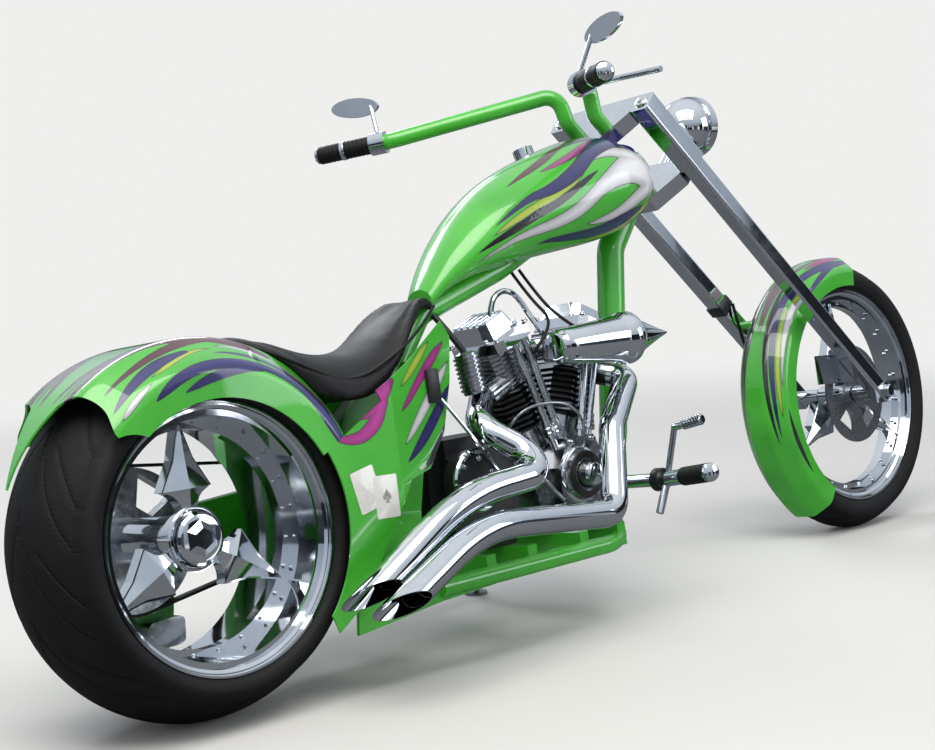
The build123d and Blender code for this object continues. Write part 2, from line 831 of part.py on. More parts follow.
def side_panels():
    """Flat sides in front of the rear tyre that turn inwards ahead of it, one for each side."""
    w = rear_fender_half_width
    t = panel_wall
    plan = [(60, w), (398, w), (625, 112), (624, 112 - t), (397, w - t), (60, w - t)]
    outline = [
        (100, 575), (214, 592), (335, 540), (470, 600), (600, 672), (624, 640), (604, 551),
        (560, 450), (497, 385), (430, 372), (378, 308), (300, 205), (264, 160), (200, 120),
        (100, 400),
    ]
    wall = extrude(make_face(Polyline(*plan, close=True)), 800)
    panel = wall & side_plate(outline, 80, 200)
    arch = Pos(0, 0) * make_face(Polyline(
        (0, 0), (300, 0), (300, rear_skirt_radius + 12), (0, rear_skirt_radius + 12), close=True
    ))
    fender_zone = make_face(Polyline(
        (100, rear_skirt_radius), (300, rear_skirt_radius), (300, rear_fender_radius + 60),
        (100, rear_fender_radius + 60), close=True,
    ))
    panel -= turned(arch, 0, rear_axle_z)
    panel -= turned(fender_zone, 0, rear_axle_z, 130, fender_front_turn - 130)
    panel = largest(panel)
    save("side_panel_left", panel)
    save("side_panel_right", mirror(panel, about=Plane.XZ))


def seat():
    """Low leather seat with a long tail, closed and laid over the fender."""
    # x, lowest z at the sides, z of the rounded edge, top z, half width
    sections = [
        (135, 640, 672, 690, 26), (235, 572, 620, 664, 112), (335, 534, 566, 634, 142),
        (480, 600, 622, 652, 120), (655, 696, 712, 728, 44),
    ]
    faces = []
    for x, low, edge, high, w in sections:
        edges = [Line((-w, low), (w, low)), Line((w, low), (w, edge)), Line((-w, low), (-w, edge))]
        edges += [ThreePointArc((w, edge), (0, high), (-w, edge))]
        faces.append(Plane(origin=(x, 0, 0), x_dir=(0, 1, 0), z_dir=(1, 0, 0)) * make_face(edges))
    body = loft(faces)
    body -= turned(rear_crown(fit_gap), 0, rear_axle_z, 179, -89)
    body -= block((300, -200, 300), (700, 200, 534))
    body -= backbone(backbone_radius + fit_gap)
    save("seat", largest(body))


def fuel_tank():
    """Long teardrop tank, lofted through rounded sections and cut round the neck and the tubes."""
    # x, bottom z, top z, bottom half width, widest half width, its z, top half width
    sections = [
        (657, 700, 746, 22, 38, 718, 24), (760, 757, 868, 34, 80, 808, 50),
        (930, 787, 984, 44, 120, 874, 76), (1120, 810, 1046, 50, 148, 922, 94),
        (1255, 838, 1062, 50, 150, 946, 96), (1330, 880, 1020, 40, 118, 950, 70),
    ]
    faces = []
    for x, low, high, wb, w, zm, wt in sections:
        shoulder = high - (high - zm) * 0.22
        edges = [Line((-wb, low), (wb, low))]
        edges += [ThreePointArc((wb, low), (w, zm), (wt, shoulder))]
        edges += [ThreePointArc((wt, shoulder), (0, high), (-wt, shoulder))]
        edges += [ThreePointArc((-wt, shoulder), (-w, zm), (-wb, low))]
        faces.append(Plane(origin=(x, 0, 0), x_dir=(0, 1, 0), z_dir=(1, 0, 0)) * make_face(edges))
    body = loft(faces) - neck_post(neck_radius + tank_gap)
    body -= backbone(backbone_radius + tank_gap)
    body -= front_tube(downtube_radius + tank_gap)
    sweep_low = fork_top - tree_thickness - 6
    back = tree_offset + tree_back + 26
    body -= at_front(block((-back, -200, sweep_low), (80, 200, sweep_low + 200)))
    body = largest(body)
    cap = rod((1108, 58, 1000), (1103, 70, 1052), 24)
    save("fuel_cap", largest(cap - body))
    save("fuel_tank", body)


# Engine


def cylinder_plane(side):
    """Frame of one cylinder: z runs out along its axis from the crank, rear is -1 and front 1."""
    a = radians(cylinder_angle)
    return Plane(
        origin=(crank_x, 0, crank_z), x_dir=(cos(a), 0, -side * sin(a)),
        z_dir=(side * sin(a), 0, cos(a)),
    )


def cylinder_point(side, x, y, z):
    """A point of one cylinder's frame on the upright machine."""
    v = cylinder_plane(side).from_local_coords(Vector(x, y, z))
    return (v.X, v.Y, v.Z)


def cut_corners(length, width, corner):
    """A rectangle with its corners cut off, for fins and covers."""
    return chamfer(Rectangle(length, width).vertices(), corner)


def cylinder(side):
    """One barrel with its fins, its head and its exhaust port."""
    height = head_top - barrel_bottom
    body = extrude(Pos(0, 0, barrel_bottom) * cut_corners(2 * barrel_half, 2 * barrel_half, 30), height)
    for n in range(fin_count):
        plate = cut_corners(fin_side * 0.92, fin_side, 34)
        body += extrude(Pos(0, 0, barrel_bottom + 6 + n * fin_pitch) * plate, fin_thickness)
    head = cut_corners(head_length, head_width, 16)
    body += extrude(Pos(0, 0, barrel_top) * head, head_top - barrel_top)
    body = cylinder_plane(side) * body
    start, end = front_port if side == 1 else rear_port
    body += rod(cylinder_point(side, *start), cylinder_point(side, *end), port_radius)
    near = crank_x + side * v_gap
    far = near - side * 300
    return body - block((min(near, far), -100, 300), (max(near, far), 100, 700))


def cylinders():
    """The two barrels of the V, which meet nowhere."""
    return Compound(children=[cylinder(-1), cylinder(1)])


def crankcase():
    """Case halves round the crank, with a deck for each cylinder and the cam cover on the right."""
    outline = [(-88, -110), (90, -110), (112, 0), (90, 72), (0, 104), (-90, 72), (-112, 0)]
    body = side_plate(
        [(crank_x + x, crank_z + z) for x, z in outline], -case_half_width, case_half_width
    )
    for side in (-1, 1):
        body += rod(cylinder_point(side, 0, 0, 60), cylinder_point(side, 0, 0, barrel_bottom), 54)
    cover = [(-82, -60), (60, -60), (70, 30), (40, 90), (-40, 90), (-80, 30)]
    body += side_plate(
        [(crank_x + x, crank_z + z) for x, z in cover], -cam_face, -case_half_width
    )
    nose = wheel_face(crank_x - 20, -cam_face, crank_z + 8, -1)
    body += extrude(nose * Circle(56), cam_dome / 2, taper=10)
    body += extrude(nose * Circle(36), cam_dome, taper=12)
    return body


def rocker_boxes():
    """Polished covers over the rockers, one on each head, wide enough for the pushrod tubes."""
    covers = []
    for side in (-1, 1):
        base = Pos(0, -18, head_top) * cut_corners(head_length, 164, 16)
        top = Pos(0, -6, rocker_top) * cut_corners(head_length - 28, 104, 14)
        covers.append(cylinder_plane(side) * (
            extrude(base, 24) + loft([Pos(0, -6, head_top + 24) * cut_corners(head_length - 8, 124, 16), top])
        ))
    return Compound(children=covers)


def engine():
    """Crankcase, cylinders, pushrod tubes, and the intake between the heads."""
    case = crankcase()
    pair = cylinders()
    covers = rocker_boxes()
    save("crankcase", case)
    save("cylinders", pair)
    save("rocker_boxes", covers)
    tubes = []
    for side in (-1, 1):
        for low_x, high_x in ((22, -30), (46, 4)):
            low = (crank_x + side * low_x, pushrod_y, crank_z + 60)
            high = cylinder_point(side, side * high_x, pushrod_y, head_top + 10)
            tubes.append(largest(rod(low, high, pushrod_radius) - case - covers))
    save("pushrod_tubes", Compound(children=tubes))
    body = block((crank_x - 32, -124, intake_z - 32), (crank_x + 32, -72, intake_z + 32))
    body += rod((crank_x, -72, intake_z), (crank_x, -26, intake_z), 24)
    body += rod((crank_x - 90, -26, intake_z), (crank_x + 90, -26, intake_z), 22)
    save("carburettor", largest(body - pair))


def air_cleaner():
    """Spiked air cleaner outside the carburettor."""
    profile = [
        (0, 0), (0, 30), (14, 36), (80, 42), (190, 50), (214, cleaner_radius), (232, cleaner_radius),
        (243, 47), (300, 25), (372, 1.5), (372, 0),
    ]
    plane = Plane(origin=(cleaner_x, cleaner_y, intake_z), x_dir=(1, 0, 0), z_dir=(0, -1, 0))
    body = revolve(
        plane * make_face(Polyline(*profile, close=True)),
        Axis((cleaner_x, cleaner_y, intake_z), (1, 0, 0)),
    )
    body += rod((crank_x, cleaner_y, intake_z), (crank_x, -124, intake_z), 28)
    save("air_cleaner", body)


def primary():
    """Long primary case on the left, on its offset spacer, over the crank and the clutch."""
    outline = [
        (1060, 300), (1040, 225), (970, 195), (570, 235), (505, 290), (505, 392), (570, 444),
        (970, 408), (1040, 375),
    ]
    body = side_plate(outline, primary_inner, primary_outer, 30)
    body += rod(
        (crank_x, case_half_width, crank_z), (crank_x, primary_inner, crank_z), offset_spacer_radius
    )
    save("primary_case", body)


def transmission():
    """Gearbox behind the engine, its round cover on the right and the belt pulley on the left."""
    body = side_plate([(575, 190), (765, 190), (790, 240), (790, 430), (575, 430), (560, 400), (560, 215)], -80, 70)
    body += rod((640, -80, 340), (640, -118, 340), 66)
    pulley_inner = rear_hub_end
    body += rod(
        (front_pulley_x, 60, front_pulley_z), (front_pulley_x, pulley_inner, front_pulley_z), 30
    )
    body += rod(
        (front_pulley_x, pulley_inner, front_pulley_z),
        (front_pulley_x, pulley_inner + pulley_width, front_pulley_z), front_pulley_radius,
    )
    for side in (-1, 1):
        near = side * (pivot_plate_inner - fit_gap)
        body -= block((380, min(near, side * 90), 100), (597, max(near, side * 90), 620))
    save("gearbox", body)


def port_exit(side, port):
    """The end of a port and a point straight out of it."""
    start, end = port
    on = tuple(b + (b - a) * 0.5 for a, b in zip(start, end))
    return cylinder_point(side, *end), cylinder_point(side, *on)


def slash_cut(end, out):
    """What a long slanting cut takes off the outer, lower side of a pipe's end."""
    side = Vector(*slash_side)
    side = (side - out * side.dot(out)).normalized()
    along = out * slash_length - side * (2 * pipe_radius)
    removed = side * slash_length + out * (2 * pipe_radius)
    tip = end - out * slash_tip - side * pipe_radius
    face = Plane(origin=tip, x_dir=along, z_dir=removed)
    return extrude(face * Rectangle(4 * slash_length, 4 * pipe_radius), slash_length)


def exhausts():
    """Two large pipes that sweep down and back to open, slash-cut tails."""
    routes = [
        [
            *port_exit(-1, rear_port), (652, -130, 450), (746, -246, 344), (470, -256, 329),
            (176, -240, 157),
        ],
        [
            *port_exit(1, front_port), (1003, -178, 400), (905, -242, 226), (480, -285, 269),
            (190, -308, 141),
        ],
    ]
    pipes = []
    for points in routes:
        body = pipe(points, [port_bend, pipe_bend, pipe_bend, tail_bend], pipe_radius)
        end = Vector(*points[-1])
        out = (end - Vector(*points[-2])).normalized()
        mouth = end - out * seat_depth
        deep = mouth - out * tail_bore_length
        body -= rod(tuple(mouth), tuple(end), pipe_radius - tail_mouth_wall)
        body -= rod(tuple(deep), tuple(mouth), pipe_radius - pipe_wall)
        pipes.append(largest(body - slash_cut(end, out)))
    save("exhaust_pipes", Compound(children=pipes))


def foot_controls():
    """Forward foot controls on each side: a cross bar from the frame, a peg and a pedal."""
    for side, name in ((-1, "foot_controls_right"), (1, "foot_controls_left")):
        bar = rod((1152, 0, 262), (1131, 205, 266), 15) - front_tube(downtube_radius)
        shapes = [
            largest(bar), rod((1131, 200, 266), (1075, 375, 282), 17),
            rod((1131, 205, 266), (1152, 228, 378), 7), rod((1150, 226, 378), (1165, 300, 390), 9),
            rod((1131, 205, 266), (1096, 200, 196), 9),
        ]
        piece = fused(shapes)
        save(name, piece if side == 1 else mirror(piece, about=Plane.XZ))


for make in (
    rear_wheel, rear_pulley, drive_belt, front_wheel, axles, fork_legs, clamps, handlebar, grips,
    hand_controls, mirrors, headlamp, front_fender, front_caliper, frame_pieces, cradle, swingarm,
    rear_caliper, side_stand, rear_fender, side_panels, seat, fuel_tank, engine, air_cleaner,
    primary, transmission, exhausts, foot_controls,
):
    make()
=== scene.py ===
"""Looks of a long raked chopper motorcycle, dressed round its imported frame."""

import logging
import math
from contextlib import contextmanager
from dataclasses import dataclass
from enum import Enum
from typing import Callable, Iterator, Optional, Sequence

import bmesh
import bpy
import numpy as np
from mathutils import Matrix, Vector


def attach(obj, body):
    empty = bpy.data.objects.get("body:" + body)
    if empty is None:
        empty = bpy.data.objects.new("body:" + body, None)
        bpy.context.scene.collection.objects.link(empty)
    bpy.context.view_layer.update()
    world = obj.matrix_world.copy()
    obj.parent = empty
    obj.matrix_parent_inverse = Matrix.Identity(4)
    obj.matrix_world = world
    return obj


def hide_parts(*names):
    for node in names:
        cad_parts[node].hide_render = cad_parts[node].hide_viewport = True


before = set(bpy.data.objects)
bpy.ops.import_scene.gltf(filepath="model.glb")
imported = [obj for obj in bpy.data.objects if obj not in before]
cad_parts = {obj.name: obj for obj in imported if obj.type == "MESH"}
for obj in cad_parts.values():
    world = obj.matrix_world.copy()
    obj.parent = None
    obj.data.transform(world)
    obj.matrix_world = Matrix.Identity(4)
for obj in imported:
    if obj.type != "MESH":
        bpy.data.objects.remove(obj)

LOG = logging.getLogger("chopper")
MM = 0.001
LEAN = math.radians(6.6)
RAKE = math.radians(46.7)
WHEELBASE = 2128.0
REAR_AXLE_Z = 332.27
FRONT_AXLE_Z = 356.94
ORIGIN = (1.07675, 0.12781, 0.0)
PARK = Matrix.Translation((-ORIGIN[0], -ORIGIN[1], 0.0)) @ Matrix.Rotation(-LEAN, 4, "X")
UPRIGHT = Matrix.Identity(4)
# Distances from a flame's or a groove's edge are kept up to this many millimetres
FAR = 90.0

Point = tuple[float, float, float]
Flat = tuple[float, float]

# The machine's sides, and the engine's two banks, as (sign, name)
SIDES = ((-1, "right"), (1, "left"))
BANKS = ((-1, "rear"), (1, "front"))


class Body(Enum):
    """The moving bodies of the frame."""

    FRAME = "frame"
    STEERING = "steering"
    FRONT_WHEEL = "front_wheel"
    REAR_WHEEL = "rear_wheel"


class Slot(Enum):
    """The record's material slots."""

    PAINT = "lime_paint"
    CHROME = "chrome"
    STEEL = "steel"
    ALUMINIUM = "aluminium"
    BLACK = "black_metal"
    TYRE = "tyre"
    RUBBER = "rubber"
    LEATHER = "leather"
    GLASS = "glass"


class Ink(Enum):
    """Airbrushed colours of the flames, from the first coat to the last: name and sRGB colour."""

    YELLOW = ("yellow", "#B7D23C")
    WHITE = ("white", "#D9DADF")
    MAROON = ("maroon", "#541128")
    MAGENTA = ("magenta", "#B02C90")
    NAVY = ("navy", "#1C1868")
    BLACK = ("black", "#17151C")


def linear(code: str) -> tuple[float, float, float, float]:
    """Turn an sRGB hex value to a linear colour.

    Args:
        code: The colour, as #RRGGBB.

    Returns:
        Linear red, green, blue, and an alpha of 1.
    """
    parts = [int(code[i:i + 2], 16) / 255 for i in (1, 3, 5)]
    r, g, b = (c / 12.92 if c <= 0.04045 else ((c + 0.055) / 1.055) ** 2.4 for c in parts)
    return (r, g, b, 1.0)


def frame_matrix(origin: Point, x_dir: Point, z_dir: Point) -> Matrix:
    """Matrix of a local frame on the upright machine.

    Args:
        origin: Its origin, in millimetres.
        x_dir: Its x direction.
        z_dir: Its z direction, square to x.

    Returns:
        The matrix from local metres to upright metres.
    """
    x, z = Vector(x_dir).normalized(), Vector(z_dir).normalized()
    turn = Matrix((x, z.cross(x), z)).transposed().to_4x4()
    return Matrix.Translation(Vector(origin) * MM) @ turn


FRONT = frame_matrix(
    (WHEELBASE, 0, FRONT_AXLE_Z), (math.cos(RAKE), 0, math.sin(RAKE)), (-math.sin(RAKE), 0, math.cos(RAKE))
)


def right_face(x: float, y: float, z: float) -> Matrix:
    """Frame at a point, in millimetres, whose z looks out to the machine's right."""
    return frame_matrix((x, y, z), (1, 0, 0), (0, -1, 0))


def left_face(x: float, y: float, z: float) -> Matrix:
    """Frame at a point, in millimetres, whose z looks out to the machine's left."""
    return frame_matrix((x, y, z), (-1, 0, 0), (0, 1, 0))


def aimed(start: Point, end: Point) -> Matrix:
    """Frame at a start point whose z runs towards an end point, both in millimetres."""
    z = (Vector(end) - Vector(start)).normalized()
    side = Vector((0, 1, 0)) if abs(z.y) < 0.9 else Vector((1, 0, 0))
    return frame_matrix(start, tuple(side.cross(z)), tuple(z))


# Nodes and finishes


def add_node(
    tree: bpy.types.NodeTree, kind: str, settings: Optional[dict] = None, links: Optional[dict] = None
) -> bpy.types.Node:
    """Add a node with its settings and links.

    Args:
        tree: The node tree that it goes into.
        kind: The node's type.
        settings: Values of its inputs, by name or number, and of its own properties.
        links: Output sockets that feed its inputs, by name or number.

    Returns:
        The new node.
    """
    made = tree.nodes.new(kind)
    for name, value in (settings or {}).items():
        if isinstance(name, int) or name in made.inputs:
            made.inputs[name].default_value = value
        else:
            setattr(made, name, value)
    for name, source in (links or {}).items():
        tree.links.new(source, made.inputs[name])
    return made


@dataclass(frozen=True)
class Finish:
    """A finish, built once as a material and shared by the pieces that wear it."""

    name: str
    slot: Slot

    def material(self) -> bpy.types.Material:
        """Give the finish's material, and build it on first use."""
        found = bpy.data.materials.get(self.name)
        if found:
            return found
        made = bpy.data.materials.new(self.name)
        made.use_nodes = True
        made.node_tree.nodes.clear()
        out = add_node(made.node_tree, "ShaderNodeOutputMaterial")
        made.node_tree.links.new(self.shade(made.node_tree), out.inputs["Surface"])
        return made

    def shade(self, tree: bpy.types.NodeTree) -> bpy.types.NodeSocket:
        """Build the shader and give its output."""
        raise NotImplementedError


@dataclass(frozen=True)
class PolishedMetal(Finish):
    """Metal that is plated, machined or ground: its grain sets how far it scatters a reflection."""

    colour: str = "#D6D8DC"
    shade_colour: str = "#AEB2B8"
    roughness: tuple[float, float] = (0.03, 0.09)
    grain_mm: float = 60.0
    bump: float = 0.02

    def shade(self, tree: bpy.types.NodeTree) -> bpy.types.NodeSocket:
        """Grain in metres on Object coordinates drives the tone, the roughness and a slight wave."""
        place = add_node(tree, "ShaderNodeTexCoord")
        grain = add_node(
            tree, "ShaderNodeTexNoise", {"Scale": 1000 / self.grain_mm, "Detail": 4.0, "Roughness": 0.55},
            {"Vector": place.outputs["Object"]},
        )
        tone = add_node(
            tree, "ShaderNodeMixRGB", {"Color1": linear(self.shade_colour), "Color2": linear(self.colour)},
            {"Fac": grain.outputs["Fac"]},
        )
        rough = add_node(
            tree, "ShaderNodeMapRange",
            {"From Min": 0.3, "From Max": 0.7, "To Min": self.roughness[0], "To Max": self.roughness[1]},
            {"Value": grain.outputs["Fac"]},
        )
        wave = add_node(
            tree, "ShaderNodeBump", {"Strength": self.bump, "Distance": 0.001},
            {"Height": grain.outputs["Fac"]}
        )
        return add_node(
            tree, "ShaderNodeBsdfPrincipled", {"Metallic": 1.0},
            {"Base Color": tone.outputs[0], "Roughness": rough.outputs[0], "Normal": wave.outputs[0]},
        ).outputs[0]


@dataclass(frozen=True)
class Lacquer(Finish):
    """Two-coat car lacquer on metal: a flaked colour coat under a clear, glossy one."""

    colour: str = "#3FAE2A"
    deep: str = "#2C911D"
    pinstripe: str = "#2A2433"
    flake_mm: float = 1.2
    orange_peel_mm: float = 4.0
    inks: tuple[Ink, ...] = ()
    outline_mm: float = 1.3
    fade_mm: float = 14.0

    def shade(self, tree: bpy.types.NodeTree) -> bpy.types.NodeSocket:
        """Tone drifts over the panel, and each ink lies where its distance attribute is below zero."""
        place = add_node(tree, "ShaderNodeTexCoord")
        drift = add_node(
            tree, "ShaderNodeTexNoise", {"Scale": 5.0, "Detail": 2.0}, {"Vector": place.outputs["Object"]}
        )
        flake = add_node(
            tree, "ShaderNodeTexVoronoi", {"Scale": 1000 / self.flake_mm}, {"Vector": place.outputs["Object"]}
        )
        amount = add_node(
            tree, "ShaderNodeMapRange", {"From Min": 0.25, "From Max": 0.6}, {"Value": drift.outputs["Fac"]}
        )
        tone = add_node(
            tree, "ShaderNodeMixRGB", {"Color1": linear(self.deep), "Color2": linear(self.colour)},
            {"Fac": amount.outputs[0]},
        ).outputs[0]
        for ink in self.inks:
            tone = self.lay_ink(tree, tone, ink)
        sparkle = add_node(
            tree, "ShaderNodeMixRGB", {"blend_type": "SOFT_LIGHT", "Fac": 0.16},
            {"Color1": tone, "Color2": flake.outputs["Color"]},
        )
        orange_peel = add_node(
            tree, "ShaderNodeTexNoise", {"Scale": 1000 / self.orange_peel_mm, "Detail": 1.0},
            {"Vector": place.outputs["Object"]},
        )
        skin = add_node(
            tree, "ShaderNodeBump", {"Strength": 0.03, "Distance": 0.0004},
            {"Height": orange_peel.outputs["Fac"]}
        )
        return add_node(
            tree, "ShaderNodeBsdfPrincipled",
            {"Roughness": 0.34, "Coat Weight": 1.0, "Coat Roughness": 0.03, "Coat IOR": 1.5},
            {"Base Color": sparkle.outputs[0], "Coat Normal": skin.outputs[0]},
        ).outputs[0]

    def lay_ink(
        self, tree: bpy.types.NodeTree, under: bpy.types.NodeSocket, ink: Ink
    ) -> bpy.types.NodeSocket:
        """Lay one airbrushed colour with its dark pinstripe over what is under it.

        Args:
            tree: The material's nodes.
            under: The colour so far.
            ink: The colour to lay.

        Returns:
            The colour with the ink on it.
        """
        name, code = ink.value
        far = add_node(tree, "ShaderNodeAttribute", {"attribute_name": f"ink_{name}"}).outputs["Fac"]
        line = add_node(
            tree, "ShaderNodeMapRange", {
                "From Min": self.outline_mm - 0.4, "From Max": self.outline_mm + 0.4,
                "To Min": 1.0, "To Max": 0.0,
            }, {"Value": far},
        )
        lined = add_node(
            tree, "ShaderNodeMixRGB", {"Color2": linear(self.pinstripe)},
            {"Fac": line.outputs[0], "Color1": under},
        )
        edge = add_node(
            tree, "ShaderNodeMapRange",
            {"From Min": -self.fade_mm, "From Max": 0.0, "To Min": 0.0, "To Max": 0.9}, {"Value": far},
        )
        dark = add_node(
            tree, "ShaderNodeMixRGB",
            {"Color1": linear(code), "Color2": tuple(c * 0.45 for c in linear(code)[:3]) + (1.0,)},
            {"Fac": edge.outputs[0]},
        )
        fill = add_node(
            tree, "ShaderNodeMapRange", {"From Min": -0.35, "From Max": 0.35, "To Min": 1.0, "To Max": 0.0},
            {"Value": far},
        )
        return add_node(
            tree, "ShaderNodeMixRGB", {},
            {"Fac": fill.outputs[0], "Color1": lined.outputs[0], "Color2": dark.outputs[0]},
        ).outputs[0]


@dataclass(frozen=True)
class Enamel(Finish):
    """Satin stove enamel or powder coat: an even film with a fine texture."""

    colour: str = "#17181A"
    worn: str = "#303236"
    rough: float = 0.38
    grain_mm: float = 1.5

    def shade(self, tree: bpy.types.NodeTree) -> bpy.types.NodeSocket:
        """Fine noise lifts the tone a little and breaks the gloss."""
        place = add_node(tree, "ShaderNodeTexCoord")
        grain = add_node(
            tree, "ShaderNodeTexNoise", {"Scale": 1000 / self.grain_mm, "Detail": 3.0},
            {"Vector": place.outputs["Object"]},
        )
        amount = add_node(
            tree, "ShaderNodeMapRange", {"From Min": 0.5, "From Max": 1.0, "To Max": 0.6},
            {"Value": grain.outputs["Fac"]},
        )
        tone = add_node(
            tree, "ShaderNodeMixRGB", {"Color1": linear(self.colour), "Color2": linear(self.worn)},
            {"Fac": amount.outputs[0]},
        )
        film = add_node(
            tree, "ShaderNodeBump", {"Strength": 0.12, "Distance": 0.0003}, {"Height": grain.outputs["Fac"]}
        )
        return add_node(
            tree, "ShaderNodeBsdfPrincipled", {"Roughness": self.rough},
            {"Base Color": tone.outputs[0], "Normal": film.outputs[0]},
        ).outputs[0]


@dataclass(frozen=True)
class Rubber(Finish):
    """Vulcanised black rubber, dusty where it has run."""

    colour: str = "#09090B"
    dust: str = "#201F1F"
    dusting: float = 0.3
    rough: float = 0.66
    grain_mm: float = 1.2
    sipes: int = 0
    sipe_half_mm: float = 1.7
    # Painted shade: a near-black laid along the middle of each groove
    groove_shade_colour: str = "#020203"

    def shade(self, tree: bpy.types.NodeTree) -> bpy.types.NodeSocket:
        """Patches of dust lighten the black, with a moulded grain under them, and painted shade darkens each
        groove.
        """
        place = add_node(tree, "ShaderNodeTexCoord")
        patch = add_node(
            tree, "ShaderNodeTexNoise", {"Scale": 14.0, "Detail": 6.0, "Roughness": 0.7},
            {"Vector": place.outputs["Object"]},
        )
        grain = add_node(
            tree, "ShaderNodeTexNoise", {"Scale": 1000 / self.grain_mm, "Detail": 2.0},
            {"Vector": place.outputs["Object"]},
        )
        amount = add_node(
            tree, "ShaderNodeMapRange", {"From Min": 0.45, "From Max": 0.8, "To Max": self.dusting},
            {"Value": patch.outputs["Fac"]},
        )
        tone = add_node(
            tree, "ShaderNodeMixRGB", {"Color1": linear(self.colour), "Color2": linear(self.dust)},
            {"Fac": amount.outputs[0]},
        )
        skin = add_node(
            tree, "ShaderNodeBump", {"Strength": 0.25, "Distance": 0.0004}, {"Height": grain.outputs["Fac"]}
        )
        colour, normal = tone.outputs[0], skin.outputs[0]
        for n in range(self.sipes):
            off = add_node(tree, "ShaderNodeAttribute", {"attribute_name": f"sipe_{n}"})
            far = add_node(tree, "ShaderNodeMath", {"operation": "ABSOLUTE"}, {0: off.outputs["Fac"]})
            wall = add_node(
                tree, "ShaderNodeMapRange",
                {"From Min": self.sipe_half_mm - 0.6, "From Max": self.sipe_half_mm + 0.6},
                {"Value": far.outputs[0]},
            )
            # Painted shade: the groove colour darkens the rubber inside each groove
            colour = add_node(
                tree, "ShaderNodeMixRGB", {"Color1": linear(self.groove_shade_colour)},
                {"Fac": wall.outputs[0], "Color2": colour},
            ).outputs[0]
            normal = add_node(
                tree, "ShaderNodeBump", {"Strength": 0.8, "Distance": 0.002},
                {"Height": wall.outputs[0], "Normal": normal},
            ).outputs[0]
        return add_node(
            tree, "ShaderNodeBsdfPrincipled", {"Roughness": self.rough, "Specular IOR Level": 0.32},
            {"Base Color": colour, "Normal": normal},
        ).outputs[0]


@dataclass(frozen=True)
class Hide(Finish):
    """Upholstery leather: a pebble of 2 mm cells, drawn a little coarse so that it shows."""

    colour: str = "#060608"
    worn: str = "#0C0C10"
    pebble_mm: float = 2.0

    def shade(self, tree: bpy.types.NodeTree) -> bpy.types.NodeSocket:
        """Cells give the pebble, and slow noise the sat-on sheen."""
        place = add_node(tree, "ShaderNodeTexCoord")
        cells = add_node(
            tree, "ShaderNodeTexVoronoi", {"Scale": 1000 / self.pebble_mm, "feature": "SMOOTH_F1"},
            {"Vector": place.outputs["Object"]},
        )
        wear = add_node(
            tree, "ShaderNodeTexNoise", {"Scale": 9.0, "Detail": 5.0}, {"Vector": place.outputs["Object"]}
        )
        tone = add_node(
            tree, "ShaderNodeMixRGB", {"Color1": linear(self.colour), "Color2": linear(self.worn)},
            {"Fac": wear.outputs["Fac"]},
        )
        rough = add_node(
            tree, "ShaderNodeMapRange", {"From Min": 0.3, "From Max": 0.7, "To Min": 0.42, "To Max": 0.6},
            {"Value": wear.outputs["Fac"]},
        )
        pebble = add_node(
            tree, "ShaderNodeBump", {"Strength": 0.22, "Distance": 0.0004},
            {"Height": cells.outputs["Distance"]}
        )
        return add_node(
            tree, "ShaderNodeBsdfPrincipled", {"Specular IOR Level": 0.34},
            {"Base Color": tone.outputs[0], "Roughness": rough.outputs[0], "Normal": pebble.outputs[0]},
        ).outputs[0]


@dataclass(frozen=True)
class ClearGlass(Finish):
    """Pressed lamp glass with a slight ripple, half clear and half near-white; the near-white half is a
    painted reflection of a bright reflector behind it.
    """

    # Painted reflection: near-white, standing in for the bright reflector behind the glass
    colour: str = "#F4F7F8"

    def shade(self, tree: bpy.types.NodeTree) -> bpy.types.NodeSocket:
        """Ripples of 9 mm bend what is seen through it."""
        place = add_node(tree, "ShaderNodeTexCoord")
        wave = add_node(
            tree, "ShaderNodeTexWave", {"Scale": 35.0, "bands_direction": "Y"},
            {"Vector": place.outputs["Object"]},
        )
        ripple = add_node(
            tree, "ShaderNodeBump", {"Strength": 0.3, "Distance": 0.0008}, {"Height": wave.outputs["Fac"]}
        )
        return add_node(
            tree, "ShaderNodeBsdfPrincipled",
            {"Base Color": linear(self.colour), "Roughness": 0.05, "Transmission Weight": 0.5, "IOR": 1.5},
            {"Normal": ripple.outputs[0]},
        ).outputs[0]


@dataclass(frozen=True)
class Card(Finish):
    """Varnished print on thin card: an off-white ground with a faint mottle."""

    colour: str = "#D8D8D2"
    aged: str = "#C4C5C2"

    def shade(self, tree: bpy.types.NodeTree) -> bpy.types.NodeSocket:
        """Fine mottle keeps the ground from being flat."""
        place = add_node(tree, "ShaderNodeTexCoord")
        mottle = add_node(
            tree, "ShaderNodeTexNoise", {"Scale": 160.0, "Detail": 3.0}, {"Vector": place.outputs["Object"]}
        )
        tone = add_node(
            tree, "ShaderNodeMixRGB", {"Color1": linear(self.colour), "Color2": linear(self.aged)},
            {"Fac": mottle.outputs["Fac"]},
        )
        return add_node(
            tree, "ShaderNodeBsdfPrincipled", {"Roughness": 0.3, "Coat Weight": 0.6, "Coat Roughness": 0.05},
            {"Base Color": tone.outputs[0]},
        ).outputs[0]


# Mirror-bright plating shows the room, so its own tone is nearly neutral
CHROME = PolishedMetal("chrome_plate", Slot.CHROME, "#E2E6EB", "#C6CBD2")
# Polished cast aluminium is softer and a shade warmer than plating
CAST = PolishedMetal(
    "polished_cast_aluminium", Slot.ALUMINIUM, "#C3C5C8", "#8F9297", (0.14, 0.30), grain_mm=18.0, bump=0.12
)
# Ground steel has a fine grain that scatters the light
GROUND = PolishedMetal(
    "ground_steel", Slot.STEEL, "#B4B7BB", "#84878C", (0.22, 0.36), grain_mm=3.0, bump=0.08
)
# Sprayed lacquer looks deep: a bright flaked green under a hard, wet shine
LIME = Lacquer("lime_lacquer", Slot.PAINT)
# Airbrushed flames lie in the same lacquer, darker at their pinstriped edges
FLAMES = Lacquer("flamed_lime_lacquer", Slot.PAINT, inks=tuple(Ink))
